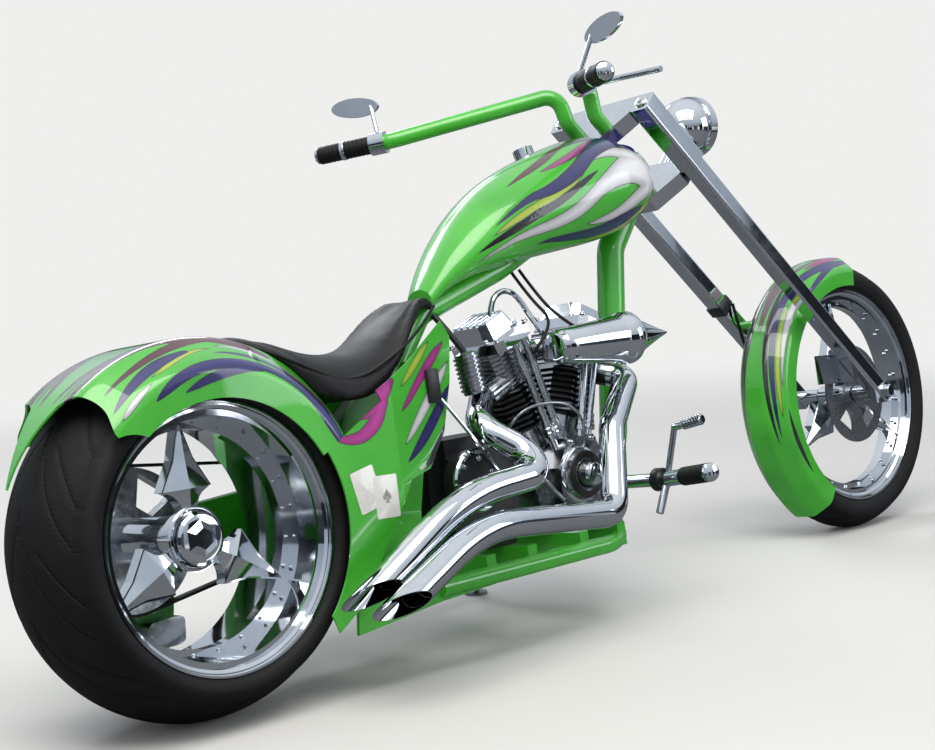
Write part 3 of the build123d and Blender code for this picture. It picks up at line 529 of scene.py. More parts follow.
# Stove enamel is an even satin black
BLACK_ENAMEL = Enamel("satin_black_enamel", Slot.BLACK)
# Moulded rubber is a dull, dusty black, and its cut grooves carry a painted shade, a near-black line along
# each one
TREAD = Rubber("tyre_rubber", Slot.TYRE, sipes=2)
PLAIN_TYRE = Rubber("plain_tyre_rubber", Slot.TYRE)
# Handled rubber stays cleaner and a little smoother
MOULDED = Rubber("moulded_grip_rubber", Slot.RUBBER, dusting=0.1, rough=0.5)
# Dyed hide is near black, with a soft sheen where it is sat on
LEATHER = Hide("black_upholstery_leather", Slot.LEATHER)
# Pressed glass carries a painted reflection: its near-white colour stands in for the bright reflector behind
# it
GLASS = ClearGlass("pressed_lamp_glass", Slot.GLASS)
# Varnished card is off-white with a gloss
CARD = Card("varnished_card", Slot.PAINT)
PIP = Card("printed_black", Slot.BLACK, "#060607")


# Bench: primitives, edits and fitting


def deselect() -> None:
    """Leave edit mode and deselect everything."""
    if bpy.context.object and bpy.context.object.mode != "OBJECT":
        bpy.ops.object.mode_set(mode="OBJECT")
    bpy.ops.object.select_all(action="DESELECT")


def pick(*pieces: bpy.types.Object) -> None:
    """Select only these pieces, with the first one active."""
    deselect()
    for piece in pieces:
        piece.select_set(True)
    bpy.context.view_layer.objects.active = pieces[0]


@contextmanager
def editing(piece: bpy.types.Object) -> Iterator[None]:
    """Edit one piece's mesh with all of it selected.

    Args:
        piece: The piece to edit.
    """
    pick(piece)
    bpy.ops.object.mode_set(mode="EDIT")
    bpy.ops.mesh.select_all(action="SELECT")
    yield
    bpy.ops.object.mode_set(mode="OBJECT")


def named(name: str) -> bpy.types.Object:
    """Name the primitive that was just added, and give it."""
    piece = bpy.context.object
    piece.name = name
    piece.data.name = name
    return piece


def joined(name: str, *pieces: bpy.types.Object) -> bpy.types.Object:
    """Join the pieces into the first one, and name it."""
    pick(*pieces)
    bpy.ops.object.join()
    return named(name)


def settled(piece: bpy.types.Object) -> bpy.types.Object:
    """Move a primitive's place into its mesh, so that its object sits at the origin."""
    piece.data.transform(piece.matrix_basis)
    piece.matrix_basis = Matrix.Identity(4)
    return piece


def reshape(piece: bpy.types.Object, points: Sequence[Point]) -> None:
    """Move a piece's vertices to the given points, in millimetres."""
    for vertex, point in zip(piece.data.vertices, points):
        vertex.co = Vector(point) * MM


def lathe(name: str, profile: Sequence[Flat], steps: int = 48) -> bpy.types.Object:
    """Spin a closed (radius, height) profile about local z.

    Args:
        name: The piece's name.
        profile: Its corners in order, in millimetres.
        steps: Steps of the spin.

    Returns:
        The closed, turned piece.
    """
    deselect()
    bpy.ops.mesh.primitive_circle_add(vertices=len(profile), fill_type="NOTHING")
    piece = named(name)
    reshape(piece, [(r, 0.0, h) for r, h in profile])
    with editing(piece):
        bpy.ops.mesh.spin(steps=steps, angle=2 * math.pi, center=(0, 0, 0), axis=(0, 0, 1))
        bpy.ops.mesh.select_all(action="SELECT")
        bpy.ops.mesh.remove_doubles(threshold=1e-6)
        bpy.ops.mesh.normals_make_consistent(inside=False)
    return piece


def prism(name: str, outline: Sequence[Flat], depth: float, bevel: float = 0.0) -> bpy.types.Object:
    """Raise a flat outline along local z, with its edges eased.

    Args:
        name: The piece's name.
        outline: Corners in the local x, y plane, in millimetres.
        depth: How far it is raised, in millimetres.
        bevel: Width of the eased edges, in millimetres.

    Returns:
        The raised piece.
    """
    deselect()
    bpy.ops.mesh.primitive_circle_add(vertices=len(outline), fill_type="NGON")
    piece = named(name)
    reshape(piece, [(x, y, 0.0) for x, y in outline])
    with editing(piece):
        bpy.ops.mesh.extrude_region_move(TRANSFORM_OT_translate={"value": (0, 0, depth * MM)})
        bpy.ops.mesh.select_all(action="SELECT")
        bpy.ops.mesh.normals_make_consistent(inside=False)
    if bevel:
        apply_modifier(piece, "BEVEL", width=bevel * MM, segments=2, limit_method="ANGLE")
    return piece


def apply_modifier(piece: bpy.types.Object, kind: str, **settings: object) -> None:
    """Add a modifier to a piece with its settings, and apply it."""
    pick(piece)
    modifier = piece.modifiers.new(kind.lower(), kind)
    for name, value in settings.items():
        setattr(modifier, name, value)
    bpy.ops.object.modifier_apply(modifier=modifier.name)


def tube(name: str, points: Sequence[Point], radius: float) -> bpy.types.Object:
    """A round hose or wire along a smooth line.

    Args:
        name: The piece's name.
        points: Control points, in millimetres.
        radius: Its radius, in millimetres.

    Returns:
        The tube as a mesh.
    """
    curve = bpy.data.curves.new(name, "CURVE")
    curve.dimensions = "3D"
    spline = curve.splines.new("NURBS")
    spline.points.add(len(points) - 1)
    for at, point in zip(spline.points, points):
        at.co = (*(Vector(point) * MM), 1.0)
    spline.use_endpoint_u = True
    spline.order_u = 3
    curve.resolution_u = 8
    curve.bevel_depth = radius * MM
    curve.bevel_resolution = 3
    curve.use_fill_caps = True
    piece = bpy.data.objects.new(name, curve)
    bpy.context.scene.collection.objects.link(piece)
    pick(piece)
    bpy.ops.object.convert(target="MESH")
    return named(name)


def spread(name: str, master: bpy.types.Object, places: Sequence[Matrix]) -> bpy.types.Object:
    """Copy a master to each place and join the copies into one piece.

    Args:
        name: The joined piece's name.
        master: The piece to copy, which is used up.
        places: A matrix for each copy.

    Returns:
        The joined piece.
    """
    copies = []
    for place in places:
        copy = bpy.data.objects.new(name, master.data.copy())
        copy.data.transform(place)
        bpy.context.scene.collection.objects.link(copy)
        copies.append(copy)
    bpy.data.objects.remove(master)
    return joined(name, *copies)


def bolt(name: str, across: float, height: float) -> bpy.types.Object:
    """A hexagon bolt head on its washer, standing on local z.

    Args:
        name: The piece's name.
        across: Width of the head over its corners, in millimetres.
        height: Height of the head, in millimetres.

    Returns:
        The bolt head.
    """
    deselect()
    bpy.ops.mesh.primitive_cylinder_add(
        vertices=6, radius=across / 2 * MM, depth=height * MM, location=(0, 0, height * 0.7 * MM)
    )
    head = named(name)
    apply_modifier(head, "BEVEL", width=height * 0.14 * MM, segments=1)
    bpy.ops.mesh.primitive_cylinder_add(
        vertices=12, radius=across * 0.66 * MM, depth=height * 0.3 * MM, location=(0, 0, height * 0.15 * MM)
    )
    washer = named(name + "_washer")
    return joined(name, settled(head), settled(washer))


def ring(base: Matrix, count: int, radius: float, start: float = 0.0) -> list[Matrix]:
    """Places round a circle in a frame's x, y plane, in millimetres and degrees."""
    turns = [math.radians(start + 360 * n / count) for n in range(count)]
    return [
        base @ Matrix.Translation((math.cos(t) * radius * MM, math.sin(t) * radius * MM, 0))
        @ Matrix.Rotation(t, 4, "Z") for t in turns
    ]


def moved(base: Matrix, x: float, y: float, z: float = 0.0) -> Matrix:
    """A frame shifted by millimetres along its own axes."""
    return base @ Matrix.Translation((x * MM, y * MM, z * MM))


def fit(
    piece: bpy.types.Object, body: Body, finish: Finish, place: Optional[Matrix] = UPRIGHT,
    replaces: Sequence[str] = (), angle: float = 34.0,
) -> bpy.types.Object:
    """Place a finished piece, dress it and hang it on its body.

    Args:
        piece: The piece, drawn in its local frame.
        body: The body that it rides on.
        finish: What it wears, which also names its slot.
        place: Matrix from its frame to the upright machine, or None for a copy of a CAD node.
        replaces: The CAD nodes that it stands for.
        angle: Edges under this angle are shaded smooth, in degrees.

    Returns:
        The fitted piece.
    """
    if place is not None:
        piece.data.transform(PARK @ place)
    if not piece.data.materials:
        piece.data.materials.append(finish.material())
    pick(piece)
    bpy.ops.object.shade_smooth_by_angle(angle=math.radians(angle))
    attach(piece, body.value)
    if replaces:
        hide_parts(*replaces)
    LOG.info("%s: %d faces on %s", piece.name, len(piece.data.polygons), body.value)
    return piece


# Seven halvings bring the longest edge of a panel under the first step
HALVINGS = 7


def copied(name: str, node: str, longest: float = 0.0) -> bpy.types.Object:
    """A merged copy of a CAD node's mesh, with its long edges divided.

    Args:
        name: The copy's name.
        node: The CAD node.
        longest: The longest edge to leave, in millimetres, or 0 to divide none.

    Returns:
        The copy, in the part's frame.
    """
    piece = bpy.data.objects.new(name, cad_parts[node].data.copy())
    bpy.context.scene.collection.objects.link(piece)
    piece.data.materials.clear()
    with editing(piece):
        bpy.ops.mesh.remove_doubles(threshold=2e-6)
        bpy.ops.mesh.customdata_custom_splitnormals_clear()
    for _ in range(HALVINGS if longest else 0):
        divide(piece, longest, np.ones(len(piece.data.vertices), bool))
    return piece


def divide(piece: bpy.types.Object, longest: float, wanted: np.ndarray) -> None:
    """Halve the long edges at some vertices.

    Args:
        piece: The piece to divide, which is left in triangles.
        longest: The longest edge to leave whole, in millimetres.
        wanted: Whether each vertex's edges are to be divided.
    """
    mesh = bmesh.new()
    mesh.from_mesh(piece.data)
    edges = [
        edge for edge in mesh.edges
        if (wanted[edge.verts[0].index] or wanted[edge.verts[1].index]) and edge.calc_length() > longest * MM
    ]
    if edges:
        bmesh.ops.subdivide_edges(mesh, edges=edges, cuts=1)
        bmesh.ops.triangulate(mesh, faces=[face for face in mesh.faces if len(face.verts) > 3])
        mesh.to_mesh(piece.data)
    mesh.free()


def upright_points(piece: bpy.types.Object) -> np.ndarray:
    """A piece's vertices on the upright machine, in millimetres."""
    co = np.empty(len(piece.data.vertices) * 3)
    piece.data.vertices.foreach_get("co", co)
    back = np.array(PARK.inverted())
    return (co.reshape(-1, 3) @ back[:3, :3].T + back[:3, 3]) / MM


# Stage


@dataclass
class Studio:
    """Pale floor, soft lamps, dark flags for the plating to mirror, and the camera."""

    lens: float = 63.83
    eye: Point = (-2.75805, -2.62391, 0.8741)
    yaw: float = math.radians(46.284)
    pitch: float = math.radians(-5.2115)
    roll: float = math.radians(-3.2979)
    floor_radius: float = 60.0
    fade_from: float = 1.8
    fade_to: float = 6.0
    room: str = "#EFEFEE"
    flags: int = 15
    flag_radius: float = 5.4

    def build(self) -> None:
        """Build the whole stage."""
        self.lay_floor()
        self.light_world()
        self.hang_lamps()
        self.hang_flags()
        self.set_camera()

    def lay_floor(self) -> None:
        """A pale floor that fades into the pale room, so that no horizon shows from any side."""
        deselect()
        bpy.ops.mesh.primitive_circle_add(vertices=96, radius=self.floor_radius, fill_type="NGON")
        floor = named("studio_floor")
        floor.data.materials.append(self.floor_paint())
        low = Matrix.Translation((0, 0, 0.003)) @ Matrix.Diagonal((11, 11, 1, 1))
        cloth = self.card("ground_cloth", low, "#6E7073")

    def floor_paint(self) -> bpy.types.Material:
        """The floor's paint: it takes the machine's shadow near, and is as pale as the room far off."""
        made = self.plain("studio_paint", "#D8D8D6", 0.6)
        tree = made.node_tree
        place = add_node(tree, "ShaderNodeTexCoord")
        away = add_node(tree, "ShaderNodeVectorMath", {"operation": "LENGTH"}, {0: place.outputs["Object"]})
        fade = add_node(
            tree, "ShaderNodeMapRange",
            {"interpolation_type": "SMOOTHSTEP", "From Min": self.fade_from, "From Max": self.fade_to},
            {"Value": away.outputs["Value"]},
        )
        path = add_node(tree, "ShaderNodeLightPath")
        mirrored = add_node(
            tree, "ShaderNodeMath", {"operation": "MAXIMUM"},
            {0: path.outputs["Is Glossy Ray"], 1: path.outputs["Is Transmission Ray"]},
        )
        seen = add_node(
            tree, "ShaderNodeMath", {"operation": "MAXIMUM"},
            {0: path.outputs["Is Camera Ray"], 1: mirrored.outputs[0]},
        )
        amount = add_node(
            tree, "ShaderNodeMath", {"operation": "MULTIPLY"}, {0: fade.outputs[0], 1: seen.outputs[0]}
        )
        room = add_node(tree, "ShaderNodeEmission", {"Color": linear(self.room), "Strength": 1.0})
        mix = add_node(
            tree, "ShaderNodeMixShader", {},
            {0: amount.outputs[0], 1: tree.nodes["Principled BSDF"].outputs[0], 2: room.outputs[0]},
        )
        tree.links.new(mix.outputs[0], tree.nodes["Material Output"].inputs["Surface"])
        return made

    def plain(self, name: str, code: str, rough: float) -> bpy.types.Material:
        """A painted cloth or floor of the studio, with a faint mottle.

        Args:
            name: The material's name.
            code: Its colour.
            rough: Its roughness.

        Returns:
            The material.
        """
        made = bpy.data.materials.new(name)
        made.use_nodes = True
        tree = made.node_tree
        place = add_node(tree, "ShaderNodeTexCoord")
        mottle = add_node(
            tree, "ShaderNodeTexNoise", {"Scale": 2.0, "Detail": 4.0}, {"Vector": place.outputs["Object"]}
        )
        tone = add_node(
            tree, "ShaderNodeMixRGB",
            {"Color1": tuple(c * 0.97 for c in linear(code)[:3]) + (1.0,), "Color2": linear(code)},
            {"Fac": mottle.outputs["Fac"]},
        )
        shader = tree.nodes["Principled BSDF"]
        tree.links.new(tone.outputs[0], shader.inputs["Base Color"])
        shader.inputs["Roughness"].default_value = rough
        shader.inputs["Specular IOR Level"].default_value = 0.1
        return made

    def card(self, name: str, place: Matrix, code: str) -> bpy.types.Object:
        """A flat cloth that only mirror-like surfaces see.

        Args:
            name: The cloth's name.
            place: Its place and size, for a cloth one metre square.
            code: Its colour.

        Returns:
            The cloth.
        """
        deselect()
        bpy.ops.mesh.primitive_plane_add(size=1.0)
        cloth = named(name)
        cloth.data.transform(place)
        cloth.data.materials.append(self.plain(name + "_paint", code, 1.0))
        for ray in ("camera", "diffuse", "shadow", "transmission"):
            setattr(cloth, f"visible_{ray}", False)
        return cloth

    def light_world(self) -> None:
        """A pale room to look at, a sky that darkens to its horizon for mirrors, and a softer glow."""
        world = bpy.data.worlds.new("studio_world")
        bpy.context.scene.world = world
        world.use_nodes = True
        tree = world.node_tree
        tree.nodes.clear()
        path = add_node(tree, "ShaderNodeLightPath")
        sharp = add_node(
            tree, "ShaderNodeMath", {"operation": "MAXIMUM"},
            {0: path.outputs["Is Glossy Ray"], 1: path.outputs["Is Transmission Ray"]},
        )
        place = add_node(tree, "ShaderNodeTexCoord")
        height = add_node(tree, "ShaderNodeSeparateXYZ", {}, {0: place.outputs["Generated"]})
        sky = add_node(tree, "ShaderNodeValToRGB", {}, {"Fac": height.outputs[2]})
        ramp = sky.color_ramp
        ramp.elements[0].position, ramp.elements[0].color = 0.0, linear("#8B8F94")
        ramp.elements[1].position, ramp.elements[1].color = 0.85, linear("#F3F6FA")
        ramp.elements.new(0.22).color = linear("#B9C3CF")
        room = add_node(tree, "ShaderNodeBackground", {"Strength": 1.0}, {"Color": sky.outputs[0]})
        white = add_node(tree, "ShaderNodeBackground", {"Color": linear(self.room), "Strength": 1.0})
        glow = add_node(tree, "ShaderNodeBackground", {"Color": linear("#F2F4F8"), "Strength": 0.62})
        lit = add_node(
            tree, "ShaderNodeMixShader", {}, {0: sharp.outputs[0], 1: glow.outputs[0], 2: room.outputs[0]}
        )
        mix = add_node(
            tree, "ShaderNodeMixShader", {},
            {0: path.outputs["Is Camera Ray"], 1: lit.outputs[0], 2: white.outputs[0]},
        )
        add_node(tree, "ShaderNodeOutputWorld", {}, {"Surface": mix.outputs[0]})

    def hang_lamps(self) -> None:
        """A broad overhead key, a fill beside the camera, and a strip that edges the machine."""
        rows = (
            ("key_lamp", (-1.6, -1.6, 4.2), (0.1, 0.0, 0.4), (4.4, 3.0), 190.0, "#FFFBF4"),
            ("fill_lamp", (3.2, -4.2, 2.2), (0.1, 0.0, 0.5), (2.4, 2.4), 52.0, "#F2F6FF"),
            ("edge_lamp", (0.6, 3.4, 3.0), (0.1, 0.0, 0.6), (3.2, 1.0), 60.0, "#F6F8FF"),
        )
        for name, place, aim, size, power, colour in rows:
            data = bpy.data.lights.new(name, "AREA")
            data.shape = "RECTANGLE"
            data.size, data.size_y = size
            data.energy = power
            data.color = linear(colour)[:3]
            lamp = bpy.data.objects.new(name, data)
            bpy.context.scene.collection.objects.link(lamp)
            lamp.location = place
            lamp.rotation_euler = (Vector(aim) - Vector(place)).to_track_quat("-Z", "Y").to_euler()

    def hang_flags(self) -> None:
        """A broken ring of dark cloths, which the plating mirrors as the dark band of a horizon."""
        for n in range(self.flags):
            angle = 2 * math.pi * n / self.flags
            high = 0.9 + 0.9 * ((n * 7) % 5) / 4
            wide = 1.3 + 0.9 * ((n * 3) % 4) / 3
            spot = Vector((math.cos(angle) * self.flag_radius, math.sin(angle) * self.flag_radius, high / 2))
            turned = Vector((-spot.x, -spot.y, 0)).to_track_quat("Z", "Y").to_matrix().to_4x4()
            code = ("#1B1D20", "#3C4045", "#24272B", "#54585D")[n % 4]
            place = Matrix.Translation(spot) @ turned @ Matrix.Diagonal((wide, high, 1, 1))
            self.card(f"flag_{n:02d}", place, code)

    def set_camera(self) -> None:
        """Stand the camera where the photograph was taken."""
        data = bpy.data.cameras.new("photo_camera")
        data.lens = self.lens
        data.sensor_width = 36.0
        data.clip_end = 200.0
        camera = bpy.data.objects.new("photo_camera", data)
        bpy.context.scene.collection.objects.link(camera)
        level = math.cos(self.pitch)
        ahead = Vector((math.cos(self.yaw) * level, math.sin(self.yaw) * level, math.sin(self.pitch)))
        right = Vector((math.sin(self.yaw), -math.cos(self.yaw), 0))
        down = ahead.cross(right)
        turned_right = right * math.cos(self.roll) - down * math.sin(self.roll)
        turned_down = right * math.sin(self.roll) + down * math.cos(self.roll)
        matrix = Matrix((turned_right, -turned_down, -ahead)).transposed().to_4x4()
        camera.matrix_world = Matrix.Translation(self.eye) @ matrix
        bpy.context.scene.camera = camera
        bpy.context.scene.view_settings.view_transform = "Standard"


# Wheels


@dataclass(frozen=True)
class Sipes:
    """One row of curved grooves, in shares of the half tread and of the tread's pitch."""

    low: float
    high: float
    start: float
    sweep: float
    power: float


SIPE_ROWS = (
    Sipes(low=-0.2, high=1.04, start=0.0, sweep=1.35, power=0.75),
    Sipes(low=0.34, high=1.12, start=0.62, sweep=0.8, power=1.5),
)


@dataclass
class TyreShape:
    """Section of a tyre and how its tread is cut, in millimetres."""

    radius: float
    half_width: float
    crown: float
    lip_radius: float
    bead_half_width: float
    seat_half_width: float
    seat_radius: float
    repeats: int
    steps: int
    groove_half_width: float
    groove_depth: float
    tread_share: float = 0.80
    wall_band: float = 14.0

    def profile(self) -> list[Flat]:
        """Give the closed section as (radius, offset), dense over the tread."""
        shoulder_y = self.half_width * self.tread_share
        shoulder_r = self.radius - self.crown + math.sqrt(self.crown ** 2 - shoulder_y ** 2)
        tread = np.linspace(-shoulder_y, shoulder_y, 45)
        points = [(self.radius - self.crown + math.sqrt(self.crown ** 2 - y * y), y) for y in tread]
        wall = []
        for t in np.linspace(0, 1, 11)[1:]:
            swell = math.sin(math.pi * (0.12 + 0.88 * t)) ** 0.8 if t < 1 else 0.0
            y = (1 - t) * shoulder_y + t * self.bead_half_width
            y += (self.half_width - (shoulder_y + self.bead_half_width) / 2) * swell
            wall.append((shoulder_r + (self.lip_radius - shoulder_r) * t, min(y, self.half_width)))
        rib = len(wall) - 3
        wall[rib] = (wall[rib][0], min(wall[rib][1] + 1.6, self.half_width))
        seat = [(self.seat_radius, self.seat_half_width), (self.seat_radius, -self.seat_half_width)]
        low_wall = [(r, -y) for r, y in reversed(wall)]
        return points + wall + seat + low_wall

    def cut_tread(self, piece: bpy.types.Object) -> None:
        """Press the grooves into the spun tyre: long curved sipes that lean with the rotation.

        Args:
            piece: The tyre, spun about local z.
        """
        co = np.empty(len(piece.data.vertices) * 3)
        piece.data.vertices.foreach_get("co", co)
        co = co.reshape(-1, 3) / MM
        radius = np.hypot(co[:, 0], co[:, 1])
        turn = np.arctan2(co[:, 1], co[:, 0])
        across = np.abs(co[:, 2])
        reach = self.half_width * self.tread_share
        share = across / reach
        pitch = 2 * math.pi / self.repeats
        outer = radius > self.lip_radius + self.wall_band
        depth = np.zeros(len(co))
        for n, row in enumerate(SIPE_ROWS):
            lean = row.start * pitch + row.sweep * pitch * np.clip(share, 0, 1.2) ** row.power
            lean = lean + np.where(co[:, 2] > 0, 0.5 * pitch, 0.0) * (n > 0)
            off = (turn - lean + pitch / 2) % pitch - pitch / 2
            slope = row.sweep * pitch * row.power * np.clip(share, 0.08, 1.2) ** (row.power - 1) / reach
            distance = off * self.radius / np.sqrt(1 + (slope * self.radius) ** 2)
            taper = np.clip(np.minimum(share - row.low, row.high - share) / 0.12, 0, 1)
            hole = np.clip((self.groove_half_width * taper - np.abs(distance)) / 1.6 + 0.5, 0, 1)
            depth = np.maximum(depth, hole * (taper > 0.1) * self.groove_depth)
            sipe = piece.data.attributes.new(f"sipe_{n}", "FLOAT", "POINT")
            value = np.where(outer, distance / (taper + 0.001), FAR)
            sipe.data.foreach_set("value", np.clip(value, -FAR, FAR).astype(np.float32))
        tread = radius > self.radius - self.crown * 0.9
        depth = np.where(tread & (share < 1.12) & outer, depth, 0.0)
        scale = (radius - depth) / np.maximum(radius, 1e-6)
        co[:, 0] *= scale
        co[:, 1] *= scale
        piece.data.vertices.foreach_set("co", (co * MM).ravel())


@dataclass
class Wheel:
    """A tyre with cut tread, and the raised facets of a machined spear wheel."""

    name: str
    body: Body
    centre: Point
    tyre: TyreShape
    spoke_face: float
    tip: float
    barb: float
    barb_half: float
    neck: float
    rivet_radius: float
    rivets: int = 24

    def build(self) -> None:
        """Build and hang the tyre, the spear facets and the rivets."""
        x, _, z = self.centre
        face = right_face(x, 0, z)
        tyre = lathe(f"{self.name}_tyre_tread", self.tyre.profile(), self.tyre.steps)
        self.tyre.cut_tread(tyre)
        fit(tyre, self.body, TREAD, face, (f"{self.name}_tyre",), 50.0)
        spoke = right_face(x, self.spoke_face, z)
        places = [spoke @ Matrix.Rotation(2 * math.pi * n / 3, 4, "Z") for n in range(3)]
        blades = spread(f"{self.name}_spear_blades", self.blade(), places)
        fit(blades, self.body, CHROME, angle=16.0)
        spots = ring(spoke, self.rivets, self.rivet_radius, 6.0)
        fit(spread(f"{self.name}_rim_rivets", bolt("rivet", 8.0, 4.5), spots), self.body, CHROME)

    def blade(self) -> bpy.types.Object:
        """One spear's raised face: two hollow-ground flats that meet in a sharp ridge."""
        rows = 22
        mid = self.barb + (self.tip - self.barb) * 0.42
        hollow = self.barb - (self.barb - self.neck) * 0.28
        radii = np.linspace(self.neck + 8, self.tip - 5, rows + 1)
        radii[np.argmin(np.abs(radii - self.barb))] = self.barb
        half = np.interp(
            radii, (self.neck, hollow, self.barb, mid, self.tip),
            (10.0, self.barb_half * 0.52, self.barb_half - 2, self.barb_half * 0.40, 1.0),
        ) - 1.5
        deselect()
        bpy.ops.mesh.primitive_grid_add(x_subdivisions=2, y_subdivisions=rows)
        piece = named("blade")
        reshape(piece, [((n % 3 - 1) * half[n // 3], radii[n // 3], 0.2) for n in range(3 * (rows + 1))])
        with editing(piece):
            bpy.ops.mesh.extrude_region_move(TRANSFORM_OT_translate={"value": (0, 0, 1.4 * MM)})
            bpy.ops.mesh.select_all(action="SELECT")
            bpy.ops.mesh.normals_make_consistent(inside=False)
        for vertex in piece.data.vertices:
            if vertex.co.z > 0.8 * MM and abs(vertex.co.x) < 1e-6:
                vertex.co.z += float(np.interp(vertex.co.y / MM, radii, 2.0 + 9.0 * half / half.max())) * MM
        return piece


@dataclass
class HubCap:
    """The rear wheel's bare cap: a turned flange, a drum and a six-sided cut top."""

    flange: float = 60.0
    drum: float = 52.0
    face_y: float = -34.0

    def build(self) -> None:
        """Turn the cap and cut its facets."""
        place = right_face(0, self.face_y, REAR_AXLE_Z)
        profile = [
            (18.0, 0.3), (self.flange - 2, 0.3), (self.flange, 3.0), (self.flange, 8.0),
            (self.flange - 3, 10.0), (self.drum + 3, 10.5), (self.drum + 1, 13.0), (self.drum, 18.0),
            (self.drum - 3, 23.0),
            (self.drum - 8, 26.5), (self.drum - 14, 28.0), (18.0, 28.6),
        ]
        drum = lathe("hub_drum", profile, 96)
        deselect()
        bpy.ops.mesh.primitive_cone_add(
            vertices=6, radius1=(self.drum - 15) * MM, radius2=20 * MM, depth=8 * MM, location=(0, 0, 31 * MM)
        )
        top = settled(named("hub_facets"))
        apply_modifier(top, "BEVEL", width=0.8 * MM, segments=2)
        fit(joined("hub_cap_polished", drum, top), Body.REAR_WHEEL, CHROME, place, ("rear_hub_cap",), 20.0)


# Bodywork


@dataclass(frozen=True)
class Lick:
    """One airbrushed flame: its ink, and its spine as (along, up, half width) in chart millimetres.

    The spine is a smooth curve through its points, and a half width below zero ends it in a tip.
    """

    ink: Ink
    spine: tuple[Point, ...]

    def distance(self, chart: np.ndarray) -> np.ndarray:
        """Signed distance of chart points from the flame's edge, below zero inside it.

        Args:
            chart: Rows of (along, up) in millimetres.

        Returns:
            A distance for each row.
        """
        knots = np.array(self.spine, float)
        ends = np.vstack([2 * knots[0] - knots[1], knots, 2 * knots[-1] - knots[-2]])
        best = np.full(len(chart), FAR)
        for n in range(len(knots) - 1):
            a, b, c, d = ends[n:n + 4]
            gap = max(1.6, 0.35 * min(b[2], c[2]))
            square, cube = 2 * a - 5 * b + 4 * c - d, 3 * b - a - 3 * c + d
            for t in np.linspace(0, 1, 2 + int(np.hypot(*(c - b)[:2]) / gap)):
                p = 0.5 * (2 * b + (c - a) * t + square * t * t + cube * t ** 3)
                best = np.minimum(best, np.hypot(chart[:, 0] - p[0], chart[:, 1] - p[1]) - p[2])
        return best


@dataclass
class PaintedPanel:
    """A body panel: a copy of its CAD node, divided finely along its flames' edges."""

    node: str
    body: Body
    chart: Callable[[np.ndarray], np.ndarray]
    licks: tuple[Lick, ...]
    steps: tuple[float, ...] = (16.0, 8.0, 4.4)
    line_mm: float = 0.6

    def inks(self, piece: bpy.types.Object) -> dict[Ink, np.ndarray]:
        """Distance of every vertex from each ink's edge."""
        chart = self.chart(upright_points(piece))
        far = {ink: np.full(len(chart), FAR) for ink in Ink}
        for lick in self.licks:
            far[lick.ink] = np.minimum(far[lick.ink], lick.distance(chart))
        return far

    def build(self) -> bpy.types.Object:
        """Copy the node, divide it, write each ink's distance to it and hang it on its body."""
        piece = copied(f"{self.node}_painted", self.node, self.steps[0])
        for step in self.steps[1:]:
            near = np.min([np.abs(far - self.line_mm) for far in self.inks(piece).values()], axis=0)
            divide(piece, step, near < step * 1.2)
        for ink, far in self.inks(piece).items():
            layer = piece.data.attributes.new(f"ink_{ink.value[0]}", "FLOAT", "POINT")
            layer.data.foreach_set("value", np.clip(far, -FAR, FAR).astype(np.float32))
        return fit(piece, self.body, FLAMES, None, (self.node,))


# Millimetres of the tank's surface to one degree round its section
TANK_MM_PER_DEGREE = 1.66


def tank_chart(points: np.ndarray) -> np.ndarray:
    """Chart of the tank: along x, and up round its section from the widest line."""
    middle = np.interp(points[:, 0], (657, 760, 930, 1120, 1255, 1330), (718, 808, 874, 922, 946, 950))
    round_it = np.degrees(np.arctan2(points[:, 2] - middle, np.abs(points[:, 1])))
    return np.column_stack([points[:, 0], round_it * TANK_MM_PER_DEGREE])


def fender_chart(centre_x: float, centre_z: float, radius: float) -> Callable[[np.ndarray], np.ndarray]:
    """Chart of a fender: back round the wheel from its top, and out from its middle to its skirt."""
    def chart(points: np.ndarray) -> np.ndarray:
        """Give (back, out) of each point."""
        x, z = points[:, 0] - centre_x, points[:, 2] - centre_z
        back = np.arctan2(-x, z)
        back = np.where(back < -2.2, back + 2 * math.pi, back) * radius
        return np.column_stack([back, np.abs(points[:, 1]) + np.maximum(0, radius - np.hypot(x, z))])
    return chart


def side_chart(points: np.ndarray) -> np.ndarray:
    """Chart of a side panel: its plain side view."""
    return points[:, [0, 2]]


def licks(*rows: tuple[Ink, tuple[Point, ...]]) -> tuple[Lick, ...]:
    """Make flames of (ink, spine) rows."""
    return tuple(Lick(ink, spine) for ink, spine in rows)


